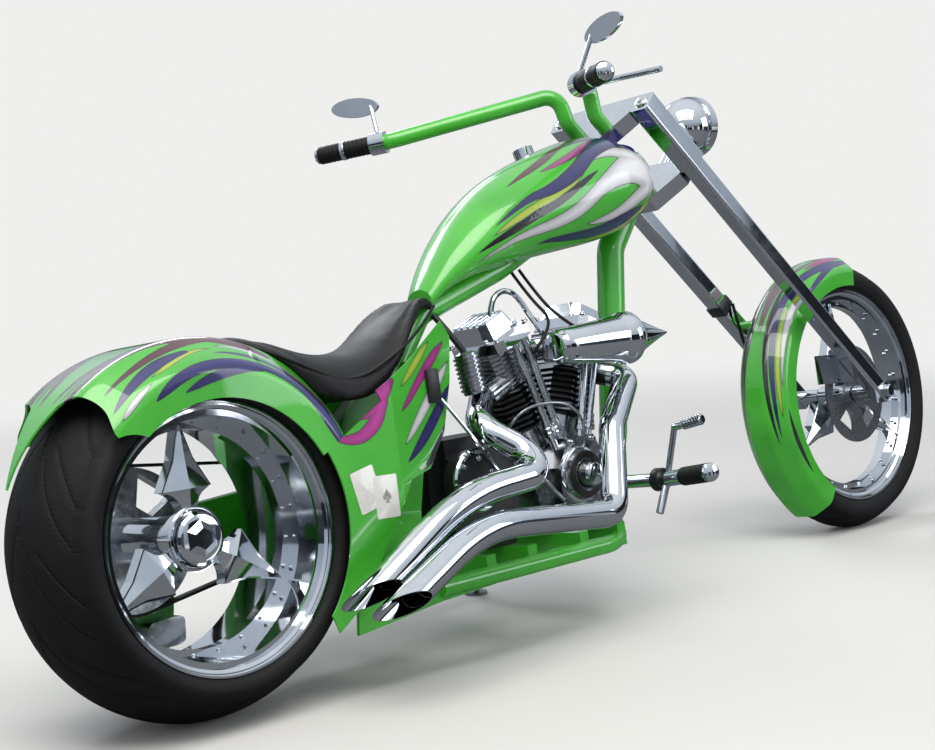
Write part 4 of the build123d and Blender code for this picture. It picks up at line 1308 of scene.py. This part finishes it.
TANK_LICKS = licks(
    (Ink.WHITE, (
        (1345, -8, 12), (1285, 4, 26), (1212, 18, 21), (1130, 8, 13), (1040, -16, 12), (950, -24, 9),
        (860, -20, 6), (780, -28, 1), (735, -36, -5),
    )),
    (Ink.WHITE, ((1292, 14, 16), (1236, 38, 13), (1176, 52, 8), (1120, 52, 3), (1080, 44, -5))),
    (Ink.WHITE, ((1290, -14, 14), (1226, -28, 12), (1160, -42, 8), (1100, -46, 3), (1050, -40, -5))),
    (Ink.NAVY, (
        (1345, 58, 10), (1290, 66, 25), (1220, 78, 20), (1140, 66, 13), (1060, 44, 12), (980, 34, 9),
        (900, 36, 5), (830, 30, 1), (785, 20, -5),
    )),
    (Ink.NAVY, ((1250, 84, 14), (1190, 104, 9), (1130, 110, 4), (1085, 102, -5))),
    (Ink.NAVY, (
        (1262, -46, 4), (1195, -60, 14), (1120, -68, 12), (1040, -62, 8), (965, -54, 3), (905, -56, -5),
    )),
    (Ink.MAROON, (
        (1338, 104, 8), (1275, 116, 14), (1195, 126, 11), (1105, 116, 8), (1015, 96, 8), (930, 86, 4),
        (860, 86, -5),
    )),
    (Ink.MAGENTA, ((1225, 100, -4), (1160, 88, 6), (1090, 76, 7), (1010, 72, 3), (950, 76, -5))),
    (Ink.BLACK, (
        (1150, 34, -4), (1080, 24, 3), (980, 8, 6), (880, 2, 7), (800, -2, 4), (745, -10, -4),
    )),
    (Ink.YELLOW, ((1110, 42, -4), (1030, 26, 5), (940, 18, 7), (850, 16, 5), (780, 8, -5))),
    (Ink.YELLOW, ((1330, -36, 3), (1275, -52, 8), (1205, -78, 7), (1120, -86, 3), (1060, -84, -5))),
)
REAR_FENDER_LICKS = licks(
    (Ink.NAVY, (
        (-410, 234, 8), (-345, 226, 17), (-250, 214, 15), (-150, 210, 13), (-40, 216, 14), (60, 228, 12),
        (130, 242, 7), (185, 252, -5),
    )),
    (Ink.NAVY, ((-335, 212, 10), (-245, 190, 11), (-150, 176, 9), (-60, 172, 4), (5, 178, -5))),
    (Ink.NAVY, ((-130, 218, 8), (-35, 240, 9), (50, 256, 5), (110, 264, -5))),
    (Ink.NAVY, ((30, 156, 6), (105, 168, 15), (178, 184, 12), (232, 198, 5), (268, 206, -5))),
    (Ink.MAROON, (
        (-170, 126, 10), (-70, 106, 21), (40, 88, 19), (140, 80, 14), (230, 70, 9), (305, 60, 3),
        (350, 54, -5),
    )),
    (Ink.MAROON, ((-30, 110, 12), (55, 128, 12), (135, 142, 8), (205, 148, 3), (255, 152, -5))),
    (Ink.MAROON, ((50, 82, 10), (135, 52, 10), (220, 30, 6), (290, 20, -5))),
    (Ink.WHITE, ((130, 208, -4), (180, 218, 6), (228, 226, 6), (272, 232, -5))),
    (Ink.WHITE, ((-260, 150, -4), (-180, 148, 6), (-90, 140, 6), (-10, 144, -5))),
    (Ink.YELLOW, ((-60, 148, -4), (25, 164, 6), (100, 190, 6), (160, 200, -5))),
    (Ink.BLACK, ((-60, 84, -4), (30, 66, 4), (120, 62, 5), (220, 50, 3), (300, 42, -5))),
    (Ink.MAGENTA, ((-400, 190, 6), (-330, 184, 12), (-255, 174, 9), (-190, 170, 3), (-140, 172, -5))),
)
FRONT_FENDER_LICKS = licks(
    (Ink.NAVY, (
        (-50, 62, 8), (20, 74, 17), (110, 66, 15), (210, 52, 12), (320, 46, 12), (430, 54, 10), (540, 64, 7),
        (640, 68, 2), (700, 68, -5),
    )),
    (Ink.NAVY, ((50, 86, 10), (125, 104, 9), (200, 114, 4), (260, 114, -5))),
    (Ink.BLACK, ((150, 26, -4), (260, 24, 6), (390, 28, 8), (520, 40, 7), (640, 52, 3), (735, 58, -5))),
    (Ink.BLACK, ((560, 112, -4), (640, 118, 5), (720, 124, 6), (790, 128, 1), (835, 130, -5))),
    (Ink.WHITE, ((165, 86, -4), (250, 88, 9), (345, 90, 12), (430, 94, 7), (510, 98, 1), (565, 100, -5))),
    (Ink.YELLOW, ((240, 66, -4), (340, 70, 6), (450, 78, 8), (560, 86, 5), (655, 90, -5))),
    (Ink.MAROON, ((30, 28, 6), (120, 18, 10), (220, 8, 9), (330, 4, 4), (430, 4, -5))),
    (Ink.MAGENTA, ((-50, 28, 6), (15, 42, 11), (95, 42, 6), (165, 34, -5))),
)
PANEL_LICKS = licks(
    (Ink.MAGENTA, (
        (408, 566, 5), (372, 540, 16), (328, 522, 20), (286, 526, 14), (246, 544, 6), (216, 562, -5),
    )),
    (Ink.MAGENTA, ((376, 530, 13), (352, 494, 15), (312, 470, 12), (266, 470, 6), (226, 484, -5))),
    (Ink.MAGENTA, ((382, 548, 10), (394, 592, 7), (402, 634, -5))),
    (Ink.NAVY, ((196, 596, 3), (232, 572, 11), (262, 566, 4), (286, 566, -5))),
    (Ink.WHITE, ((618, 600, -4), (570, 560, 9), (508, 508, 11), (450, 460, 6), (408, 428, -5))),
    (Ink.NAVY, ((614, 556, -4), (566, 510, 10), (504, 458, 12), (450, 420, 6), (410, 398, -5))),
    (Ink.MAGENTA, ((612, 640, -4), (560, 606, 9), (500, 562, 9), (448, 520, 5), (410, 494, -5))),
    (Ink.YELLOW, ((562, 644, -4), (516, 612, 7), (462, 572, 6), (416, 540, -5))),
    (Ink.BLACK, ((600, 500, -4), (552, 446, 6), (500, 400, 6), (450, 374, -5))),
)


@dataclass
class Cards:
    """Two plain cards laid on the right side panel, with a plain pip on the upper one."""

    panel_y: float = -168.0
    size: Flat = (58.0, 82.0)
    corner: float = 4.0
    gap: float = 0.15
    thick: float = 0.9

    def build(self) -> None:
        """Lay both cards and the pip."""
        rows = (("card_under", 308.0, 370.0, 12.0, 0.5), ("card_upper", 354.0, 350.0, -2.0, self.thick))
        for name, x, z, turn, thick in rows:
            fit(prism(name, self.outline(), thick, 0.2), Body.FRAME, CARD, self.laid(x, z, turn, 0.0))
        fit(prism("card_pip", self.pip(), 0.3), Body.FRAME, PIP, self.laid(354.0, 350.0, -2.0, self.thick))

    def laid(self, x: float, z: float, turn: float, out: float) -> Matrix:
        """A card's frame on the panel.

        Args:
            x: Its middle along the machine, in millimetres.
            z: Its middle's height, in millimetres.
            turn: Its turn on the panel, in degrees.
            out: How far it stands out from the card gap, in millimetres.

        Returns:
            The frame, its z out of the panel.
        """
        return right_face(x, self.panel_y - self.gap - out, z) @ Matrix.Rotation(math.radians(turn), 4, "Z")

    def outline(self) -> list[Flat]:
        """A card's outline with rounded corners."""
        w, h, r = self.size[0] / 2, self.size[1] / 2, self.corner
        points = []
        middles = ((w - r, h - r, 0), (r - w, h - r, 90), (r - w, r - h, 180), (w - r, r - h, 270))
        for cx, cy, start in middles:
            for step in range(5):
                angle = math.radians(start + step * 22.5)
                points.append((cx + r * math.cos(angle), cy + r * math.sin(angle)))
        return points

    def pip(self) -> list[Flat]:
        """A plain spade: two round lobes, a point and a foot."""
        half = [
            (0.0, 15.0), (3.2, 9.4), (8.4, 4.0), (10.6, -0.8), (9.0, -5.4), (5.0, -6.4), (2.0, -4.2),
            (4.8, -12.4),
        ]
        return half + [(-x, y) for x, y in reversed(half[1:])]


@dataclass
class Saddle:
    """The padded leather seat: its CAD solid swollen as stuffed cloth, then trimmed with piping."""

    voxel: float = 0.0055
    reach: float = 0.006
    pressure: float = 4.0
    frames: int = 20
    edge: tuple[Point, ...] = (
        (150, 676, 44), (185, 655, 82), (235, 621, 111), (335, 568, 133), (480, 622, 120), (580, 668, 86),
        (650, 707, 50),
    )

    def build(self) -> None:
        """Swell the seat and hang it on the frame."""
        piece = copied("seat_leather", "seat")
        apply_modifier(piece, "REMESH", mode="VOXEL", voxel_size=self.voxel)
        self.swell(piece)
        apply_modifier(piece, "SMOOTH", factor=0.5, iterations=4)
        apply_modifier(piece, "SUBSURF", levels=1, render_levels=1)
        fit(piece, Body.FRAME, LEATHER, None, ("seat",), 60.0)
        for side, name in SIDES:
            points = [(x, side * half, z) for x, z, half in self.edge]
            fit(tube(f"seat_piping_{name}", points, 3.2), Body.FRAME, LEATHER)

    def swell(self, piece: bpy.types.Object) -> None:
        """Blow the seat up as cloth under pressure, and cap how far each point goes.

        Args:
            piece: The remeshed seat.
        """
        rest = np.array([vertex.co[:] for vertex in piece.data.vertices])
        cloth = piece.modifiers.new("cloth", "CLOTH")
        cloth.settings.use_pressure = True
        cloth.settings.uniform_pressure_force = self.pressure
        cloth.settings.effector_weights.gravity = 0.0
        cloth.point_cache.frame_start = 1
        cloth.point_cache.frame_end = self.frames
        for step in range(1, self.frames + 1):
            bpy.context.scene.frame_set(step)
        ready = piece.evaluated_get(bpy.context.evaluated_depsgraph_get())
        moved_to = np.array([vertex.co[:] for vertex in ready.data.vertices])
        piece.modifiers.remove(cloth)
        bpy.context.scene.frame_set(1)
        shift = moved_to - rest
        size = np.linalg.norm(shift, axis=1)
        shift *= np.minimum(1, self.reach / np.maximum(size, 1e-9))[:, None]
        up = np.clip(shift[:, 2] / np.maximum(np.linalg.norm(shift, axis=1), 1e-9), -1, 1)
        shift *= np.clip(0.35 + up, 0, 1)[:, None]
        piece.data.vertices.foreach_set("co", (rest + shift).ravel())


# Engine and drive


@dataclass
class Engine:
    """Bright-edged cylinders, covers with their bolts, and the small things round the V-twin."""

    crank: Flat = (964.0, 300.0)
    half_angle: float = math.radians(22.5)
    head_low: float = 246.0
    head_top: float = 336.0
    rocker_top: float = 398.0
    primary_face: float = 276.0
    fin_root: float = 62.0

    def axis_frame(self, side: int) -> Matrix:
        """Frame of one cylinder, its z up the barrel: rear is -1 and front is 1."""
        level, lean = math.cos(self.half_angle), side * math.sin(self.half_angle)
        return frame_matrix((self.crank[0], 0, self.crank[1]), (level, 0, -lean), (lean, 0, level))

    def build(self) -> None:
        """Dress the engine from the cylinders outwards."""
        self.bright_fins()
        self.head_fins()
        self.covers()
        self.cam_side()
        self.collars()
        self.cleaner()
        self.plug_leads()
        self.plumbing()

    def bright_fins(self) -> None:
        """Copy the cylinders, with the fins' rims cut bright and the rest black."""
        piece = copied("cylinders_black_and_bright", "cylinders")
        for finish in (BLACK_ENAMEL, CAST):
            piece.data.materials.append(finish.material())
        axes = {side: (PARK @ self.axis_frame(side)).to_3x3().col[2] for side in (-1, 1)}
        back = {side: (PARK @ self.axis_frame(side)).inverted() for side in (-1, 1)}
        for face in piece.data.polygons:
            side = 1 if (PARK.inverted() @ face.center).x > self.crank[0] * MM else -1
            local = back[side] @ face.center
            out = max(abs(local.x), abs(local.y)) > self.fin_root * MM
            head = local.z > (self.head_low + 2) * MM
            face.material_index = int(head or (abs(face.normal.dot(axes[side])) < 0.3 and out))
        fit(piece, Body.FRAME, BLACK_ENAMEL, None, ("cylinders",), 25.0)

    def head_fins(self) -> None:
        """Thin polished fins round both heads."""
        half_x, half_y, cut = 60.0, 70.5, 17.0
        outline = [
            (half_x, half_y - cut), (half_x - cut, half_y), (cut - half_x, half_y), (-half_x, half_y - cut),
            (-half_x, cut - half_y), (cut - half_x, -half_y), (half_x - cut, -half_y), (half_x, cut - half_y),
        ]
        for side, name in BANKS:
            places = [moved(self.axis_frame(side), 0, 0, self.head_low + 8 + 10 * n) for n in range(8)]
            fins = spread(f"head_fins_{name}", prism("fin", outline, 3.4, 0.8), places)
            fit(fins, Body.FRAME, CAST, angle=20.0)

    def covers(self) -> None:
        """Raised ribs and bolts on the rocker covers."""
        for side, name in BANKS:
            top = moved(self.axis_frame(side), 0, -6, self.rocker_top)
            rib = prism("rib", [(-36, -44), (36, -44), (36, -34), (-36, -34)], 4.0, 1.6)
            places = [moved(top, 0, 19 * n, -0.5) for n in range(5)]
            fit(spread(f"rocker_ribs_{name}", rib, places), Body.FRAME, CHROME)
            low = moved(self.axis_frame(side), 0, -18, self.head_top + 24)
            spots = [moved(low, x, y) for x in (-49, 49) for y in (-70, -38, 40, 72)]
            fit(spread(f"rocker_bolts_{name}", bolt("bolt", 12, 7), spots), Body.FRAME, CHROME)

    def cam_side(self) -> None:
        """Rings, bolts and an end cap on the cam cover, and a ring on the gearbox cover."""
        x, z = self.crank
        nose = right_face(x - 20, -120.0, z + 8)
        case = right_face(x, -120.0, z)
        box = right_face(640, -118, 340)
        rings: tuple[tuple[str, list[Flat], int, Finish, Matrix], ...] = (
            ("cam_outer_band", [(57, 0), (62, 0), (62, 5), (60, 7), (55, 8), (54, 4)], 72, CHROME, nose),
            ("cam_dark_band", [(36, 21.2), (50.0, 21.2), (49.4, 24), (36, 24)], 64, BLACK_ENAMEL, nose),
            ("cam_end_cap", [(2, 42.0), (24, 42.0), (24, 46), (20, 49), (2, 50)], 48, CHROME, nose),
            ("gearbox_cover_ring", [(54, 0), (66, 0), (66, 5), (62, 9), (56, 9), (54, 6)], 72, CHROME, box),
        )
        for name, profile, steps, finish, place in rings:
            fit(lathe(name, profile, steps), Body.FRAME, finish, place)
        corners = ((-74, -52), (-10, -54), (52, -52), (62, 20), (34, 80), (-34, 80), (-72, 22))
        spots = [moved(case, px, pz) for px, pz in corners]
        fit(spread("cam_cover_bolts", bolt("bolt", 11, 7), spots), Body.FRAME, CHROME)
        fit(spread("gearbox_cover_bolts", bolt("bolt", 10, 6), ring(box, 6, 46, 15)), Body.FRAME, CHROME)
        self.primary_lids()

    def primary_lids(self) -> None:
        """Round lids over the clutch and the crank on the left, and the case's edge bolts."""
        lids = (("clutch_lid", 604.0, 338.0, 60.0), ("crank_lid", 962.0, 300.0, 46.0))
        for name, spot_x, spot_z, radius in lids:
            face = left_face(spot_x, self.primary_face, spot_z)
            lid = [
                (2, 0), (radius, 0), (radius, 4), (radius - 4, 8), (radius - 11, 9.5), (radius - 14, 7.5),
                (2, 7.5),
            ]
            fit(lathe(name, lid, 72), Body.FRAME, CHROME, face)
            screws = ring(moved(face, 0, 0, 7.4), 5, radius - 20, 18)
            fit(spread(f"{name}_screws", bolt("bolt", 7, 4), screws), Body.FRAME, CHROME)
        spots = []
        for spot_x in (690.0, 775.0, 860.0, 1010.0):
            slope = (970 - spot_x) / 400
            heights = (237 + 40 * slope, 366 + 36 * slope)
            spots += [left_face(spot_x, self.primary_face, z) for z in heights]
        fit(spread("primary_case_bolts", bolt("bolt", 9, 6), spots), Body.FRAME, CHROME)

    def collars(self) -> None:
        """Stepped collars at the feet of the pushrod tubes."""
        collar = [(9.2, 0), (15, 0), (15, 10), (13, 12), (13, 20), (11.5, 22), (11.5, 34), (9.2, 34)]
        places = []
        for side in (-1, 1):
            for low_x, high_x in ((22, -30), (46, 4)):
                low = Vector((self.crank[0] + side * low_x, -88, self.crank[1] + 60))
                socket = Vector((side * high_x, -88, self.head_top + 10)) * MM
                high = (self.axis_frame(side) @ socket) / MM
                start = low + (high - low).normalized() * 42
                places.append(aimed(tuple(start), tuple(high)))
        fit(spread("pushrod_collars", lathe("collar", collar, 28), places), Body.FRAME, CHROME)

    def cleaner(self) -> None:
        """The spiked air cleaner, turned smooth with its rings."""
        profile = [
            (1.0, 0.0), (26, 0.0), (30, 2), (32, 8), (35, 13), (36, 15), (38.5, 40), (42, 80), (46, 130),
            (50, 186), (51.5, 194), (56, 206), (58, 214), (58, 231), (56, 234), (50, 239), (47, 243),
            (41, 256), (25, 300), (12, 338), (4, 364), (1.6, 371), (1.0, 371.5),
        ]
        place = frame_matrix((845, -190, 588), (0, 0, -1), (1, 0, 0))
        fit(lathe("air_cleaner_shell", profile, 96), Body.FRAME, CHROME, place, ("air_cleaner",))
        stub = [(2, 0), (27.5, 0), (27.5, 64), (2, 64)]
        fit(lathe("air_cleaner_neck", stub, 40), Body.FRAME, CHROME, right_face(self.crank[0], -125, 588))

    def plug_leads(self) -> None:
        """Plug caps on the heads, with leads that run in between the heads and up to the backbone."""
        for side, name in BANKS:
            head = self.axis_frame(side)
            cap = [(1, 0), (9, 0), (9, 20), (7, 24), (7, 36), (1, 38)]
            out = head @ frame_matrix((side * -34, -66, 286), (1, 0, 0), (0, -1, 0.35))
            fit(lathe(f"plug_cap_{name}", cap, 24), Body.FRAME, MOULDED, out)
            tip = (out @ Vector((0, 0, 0.034))) / MM
            x = self.crank[0] + side * 14
            bend = (tip.x, tip.y - 18, tip.z + 12)
            points = [tuple(tip), bend, (x, -96, 650), (x, -40, 700), (x - 20, -8, 770)]
            fit(tube(f"plug_lead_{name}", points, 3.6), Body.FRAME, MOULDED)

    def plumbing(self) -> None:
        """The oil filter, the hoses and cables, and the black box beside the panel's front edge."""
        fins = [(2, 0), (22, 0), (24, 4)]
        for n in range(8):
            z = 8 + 9.5 * n
            fins += [(24, z), (28, z + 0.8), (28, z + 5.4), (24, z + 6.2)]
        fins += [(24, 86), (16, 90), (2, 90)]
        place = aimed((715.0, -70.0, 514.0), (706.0, -64.0, 604.0))
        fit(lathe("oil_filter_finned", fins, 48), Body.FRAME, CAST, place, angle=20.0)
        rows: tuple[tuple[str, float, Finish, tuple[Point, ...]], ...] = (
            ("oil_filter_bracket", 7.0, BLACK_ENAMEL, ((706, -64, 602), (690, -50, 640), (668, -24, 690))),
            ("breather_hose", 6.5, CHROME, (
                (826, -34, 664), (826, -36, 702), (862, -40, 728), (902, -44, 716), (922, -60, 660),
                (936, -84, 612),
            )),
            ("sensor_cable", 3.0, GROUND, (
                (770, -96, 430), (780, -128, 470), (880, -148, 476), (950, -146, 440), (962, -132, 372),
                (962, -122, 360),
            )),
            ("shift_rod", 4.0, CHROME, ((546, -132, 530), (590, -146, 470), (676, -150, 352))),
            ("oil_line_front", 5.0, CHROME, (
                (1010, -76, 226), (1044, -110, 232), (1070, -96, 300), (1058, -80, 360), (1040, -70, 390),
            )),
            ("oil_line_rear", 5.5, GROUND, (
                (700, -82, 400), (740, -104, 420), (800, -96, 380), (850, -110, 300), (884, -122, 262),
            )),
        )
        for name, radius, finish, points in rows:
            fit(tube(name, points, radius), Body.FRAME, finish)
        box = prism("regulator_box", [(-16, -34), (16, -34), (16, 34), (-16, 34)], 24.0, 3.0)
        fit(box, Body.FRAME, BLACK_ENAMEL, right_face(535, -122, 545))


# Front end and controls


@dataclass
class FrontEnd:
    """Caps, nuts and bolts of the raked fork, and its brake hose."""

    half_spacing: float = 127.5
    sleeve: float = 43.0
    top: float = 1118.0
    clamp_low: float = 866.0

    def build(self) -> None:
        """Dress the fork and the axle's ends."""
        caps = [moved(FRONT, 0, side * self.half_spacing, self.top) for side in (-1, 1)]
        cap = [(1, 0.2), (17, 0.2), (17, 3), (15, 5), (9, 6), (8, 9), (1, 10)]
        fit(spread("fork_top_caps", lathe("cap", cap, 32), caps), Body.STEERING, CHROME)
        out = self.half_spacing + self.sleeve / 2
        nuts = [right_face(WHEELBASE, -out, FRONT_AXLE_Z), left_face(WHEELBASE, out, FRONT_AXLE_Z)]
        fit(spread("front_axle_nuts", bolt("nut", 34, 14), nuts), Body.STEERING, CHROME)
        spots = [
            FRONT @ frame_matrix((-24, side * 88, self.clamp_low + up), (0, 1, 0), (-1, 0, 0))
            for side in (-1, 1) for up in (10, 30)
        ]
        fit(spread("clamp_pinch_bolts", bolt("bolt", 12, 8), spots), Body.STEERING, CHROME)
        block = prism("hose_clamp", [(-24, -24), (24, -24), (24, 24), (-24, 24)], 34.0, 2.0)
        fit(block, Body.STEERING, BLACK_ENAMEL, moved(FRONT, 0, self.half_spacing, 392))
        hose = ((1852, 100, 640), (1858, 96, 590), (1872, 94, 520), (1920, 92, 460), (2000, 88, 440))
        fit(tube("front_brake_hose", hose, 4.0), Body.STEERING, MOULDED)


@dataclass
class Controls:
    """Grips with their bright bands and caps, and the foot pegs' rubbers, caps and ribs."""

    elbow: Point = (911.0, 292.0, 1118.0)
    end: Point = (818.0, 453.0, 1112.0)
    grip_share: float = 0.31
    grip_bore: float = 18.9
    grip_radius: float = 21.0
    peg_bore: float = 17.2
    peg_radius: float = 20.5

    def build(self) -> None:
        """Dress the bar's ends and the pegs."""
        for side, name in SIDES:
            elbow, end = (Vector((x, side * y, z)) for x, y, z in (self.elbow, self.end))
            length = (end - elbow).length * (1 - self.grip_share)
            place = aimed(tuple(elbow.lerp(end, self.grip_share)), tuple(end))
            bore, full = self.grip_bore, self.grip_radius
            grip = [(bore, 0.2), (full, 0.2)]
            for n in range(9):
                z = 14 + n * (length - 34) / 9
                grip += [(full, z), (full - 1.4, z + 1.6), (full - 1.4, z + 3.2), (full, z + 4.8)]
            grip += [(full, length - 3), (full - 1.2, length - 0.2), (bore, length - 0.2)]
            fit(lathe(f"grip_{name}", grip, 40), Body.STEERING, MOULDED, place)
            z = length * 0.52
            band = [(bore, z - 5), (full + 0.8, z - 5), (full + 1.4, z), (full + 0.8, z + 5), (bore, z + 5)]
            fit(lathe(f"grip_band_{name}", band, 40), Body.STEERING, CHROME, place)
            cap = [(1, 0.2), (17.6, 0.2), (18.8, 1.6), (18.4, 5), (14, 9), (8, 11), (1, 11.6)]
            tip = aimed(tuple(end), tuple(end * 2 - elbow))
            fit(lathe(f"grip_cap_{name}", cap, 40), Body.STEERING, CHROME, tip)
            self.peg(side, name)
        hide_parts("grips")

    def peg(self, side: int, name: str) -> None:
        """Rubber, end cap and pivot of one foot peg, and the ribs of its toe peg.

        Args:
            side: 1 on the left, -1 on the right.
            name: The side's name.
        """
        inner, outer = Vector((1131, side * 200, 266)), Vector((1075, side * 375, 282))
        length = (outer - inner).length
        place = aimed(tuple(inner), tuple(outer))
        bore, full = self.peg_bore, self.peg_radius
        rubber = [(bore, length * 0.42)]
        for n in range(8):
            z = length * 0.42 + 2 + n * 11.0
            rubber += [(full, z), (full, z + 7), (full - 1.9, z + 8), (full - 1.9, z + 10)]
        rubber += [(full, length - 11), (full, length - 9), (bore, length - 9)]
        fit(lathe(f"peg_rubber_{name}", rubber, 36), Body.FRAME, MOULDED, place)
        cap = [
            (1, length + 0.2), (1, length + 5), (12, length + 4.4), (19, length + 1), (20.4, length - 4),
            (20.4, length - 9), (bore, length - 9), (bore, length + 0.2),
        ]
        fit(lathe(f"peg_cap_{name}", cap, 36), Body.FRAME, CHROME, place)
        pivot = [(15.2, -6), (24, -6), (26, -3), (26, 17), (24, 20), (15.2, 20)]
        bar = aimed((1131, side * 178, 266), (1131, side * 205, 266))
        fit(lathe(f"pedal_pivot_{name}", pivot, 36), Body.FRAME, BLACK_ENAMEL, bar)
        low, high = (1150, side * 226, 378), (1165, side * 300, 390)
        start = (Vector(high) - Vector(low)).length * 0.34
        ribs = []
        for n in range(7):
            z = start + n * 7.0
            ribs += [(9.1, z), (12.5, z + 0.8), (12.5, z + 4.2), (9.1, z + 5)]
        fit(lathe(f"toe_peg_ribs_{name}", ribs, 28), Body.FRAME, CHROME, aimed(low, high))


NODES_BY_FINISH: tuple[tuple[Finish, tuple[str, ...]], ...] = (
    (LIME, (
        "frame_lower_rails", "frame_backbone", "frame_front_tube", "frame_neck", "swingarm", "handlebar",
        "fuel_tank", "rear_fender", "front_fender", "side_panel_left", "side_panel_right",
    )),
    (CHROME, (
        "rear_axle", "fuel_cap", "rocker_boxes", "pushrod_tubes", "primary_case", "exhaust_pipes",
        "foot_controls_left", "foot_controls_right", "lower_clamp_and_stem", "upper_clamp", "fork_legs",
        "hand_controls", "mirrors", "headlamp_shell", "front_axle", "front_brake_caliper", "front_rim",
        "rear_rim", "air_cleaner", "rear_hub_cap",
    )),
    (CAST, ("rear_brake_caliper", "crankcase", "carburettor", "rear_pulley")),
    (GROUND, ("front_brake_disc", "side_stand")),
    (BLACK_ENAMEL, ("gearbox", "cylinders")),
    (MOULDED, ("drive_belt", "grips")),
    (PLAIN_TYRE, ("rear_tyre", "front_tyre")),
    (GLASS, ("headlamp_lens",)),
    (LEATHER, ("seat",)),
)


def dress_nodes() -> None:
    """Give each CAD node its finish."""
    finishes = {name: finish for finish, names in NODES_BY_FINISH for name in names}
    for name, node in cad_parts.items():
        node.data.materials.clear()
        node.data.materials.append(finishes[name].material())


REAR_TYRE = TyreShape(
    radius=331.0, half_width=146.0, crown=190.0, lip_radius=245.0, bead_half_width=129.6,
    seat_half_width=121.6, seat_radius=231.3, repeats=11, steps=1100, groove_half_width=3.0, groove_depth=2.2,
)
FRONT_TYRE = TyreShape(
    radius=356.5, half_width=60.0, crown=66.0, lip_radius=284.0, bead_half_width=45.6, seat_half_width=37.6,
    seat_radius=267.3, repeats=16, steps=900, groove_half_width=2.4, groove_depth=1.8,
)
REAR_WHEEL = Wheel(
    "rear", Body.REAR_WHEEL, (0.0, 0.0, REAR_AXLE_Z), REAR_TYRE, spoke_face=-34.0, tip=214.0, barb=92.0,
    barb_half=54.0, neck=46.0, rivet_radius=209.5,
)
FRONT_WHEEL = Wheel(
    "front", Body.FRONT_WHEEL, (WHEELBASE, 0.0, FRONT_AXLE_Z), FRONT_TYRE, spoke_face=-12.0, tip=252.0,
    barb=100.0, barb_half=52.0, neck=34.0, rivet_radius=248.5,
)
PANELS = (
    PaintedPanel("fuel_tank", Body.FRAME, tank_chart, TANK_LICKS),
    PaintedPanel("rear_fender", Body.FRAME, fender_chart(0.0, REAR_AXLE_Z, 364.0), REAR_FENDER_LICKS),
    PaintedPanel(
        "front_fender", Body.STEERING, fender_chart(WHEELBASE, FRONT_AXLE_Z, 372.0), FRONT_FENDER_LICKS,
    ),
    PaintedPanel("side_panel_right", Body.FRAME, side_chart, PANEL_LICKS),
    PaintedPanel("side_panel_left", Body.FRAME, side_chart, PANEL_LICKS),
)


def main() -> None:
    """Build the stage, then the machine's looks in order."""
    logging.basicConfig(level=logging.INFO, format="%(name)s %(message)s")
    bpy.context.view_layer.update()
    bpy.context.scene.unit_settings.system = "METRIC"
    dress_nodes()
    builders: list[tuple[str, Callable[[], object]]] = [
        ("studio", Studio().build), ("rear wheel", REAR_WHEEL.build), ("front wheel", FRONT_WHEEL.build),
        ("hub cap", HubCap().build), ("cards", Cards().build), ("saddle", Saddle().build),
        ("engine", Engine().build), ("front end", FrontEnd().build), ("controls", Controls().build),
    ]
    builders += [(panel.node, panel.build) for panel in PANELS]
    for name, build in builders:
        LOG.info("building %s", name)
        build()


if __name__ == "__main__":
    main()
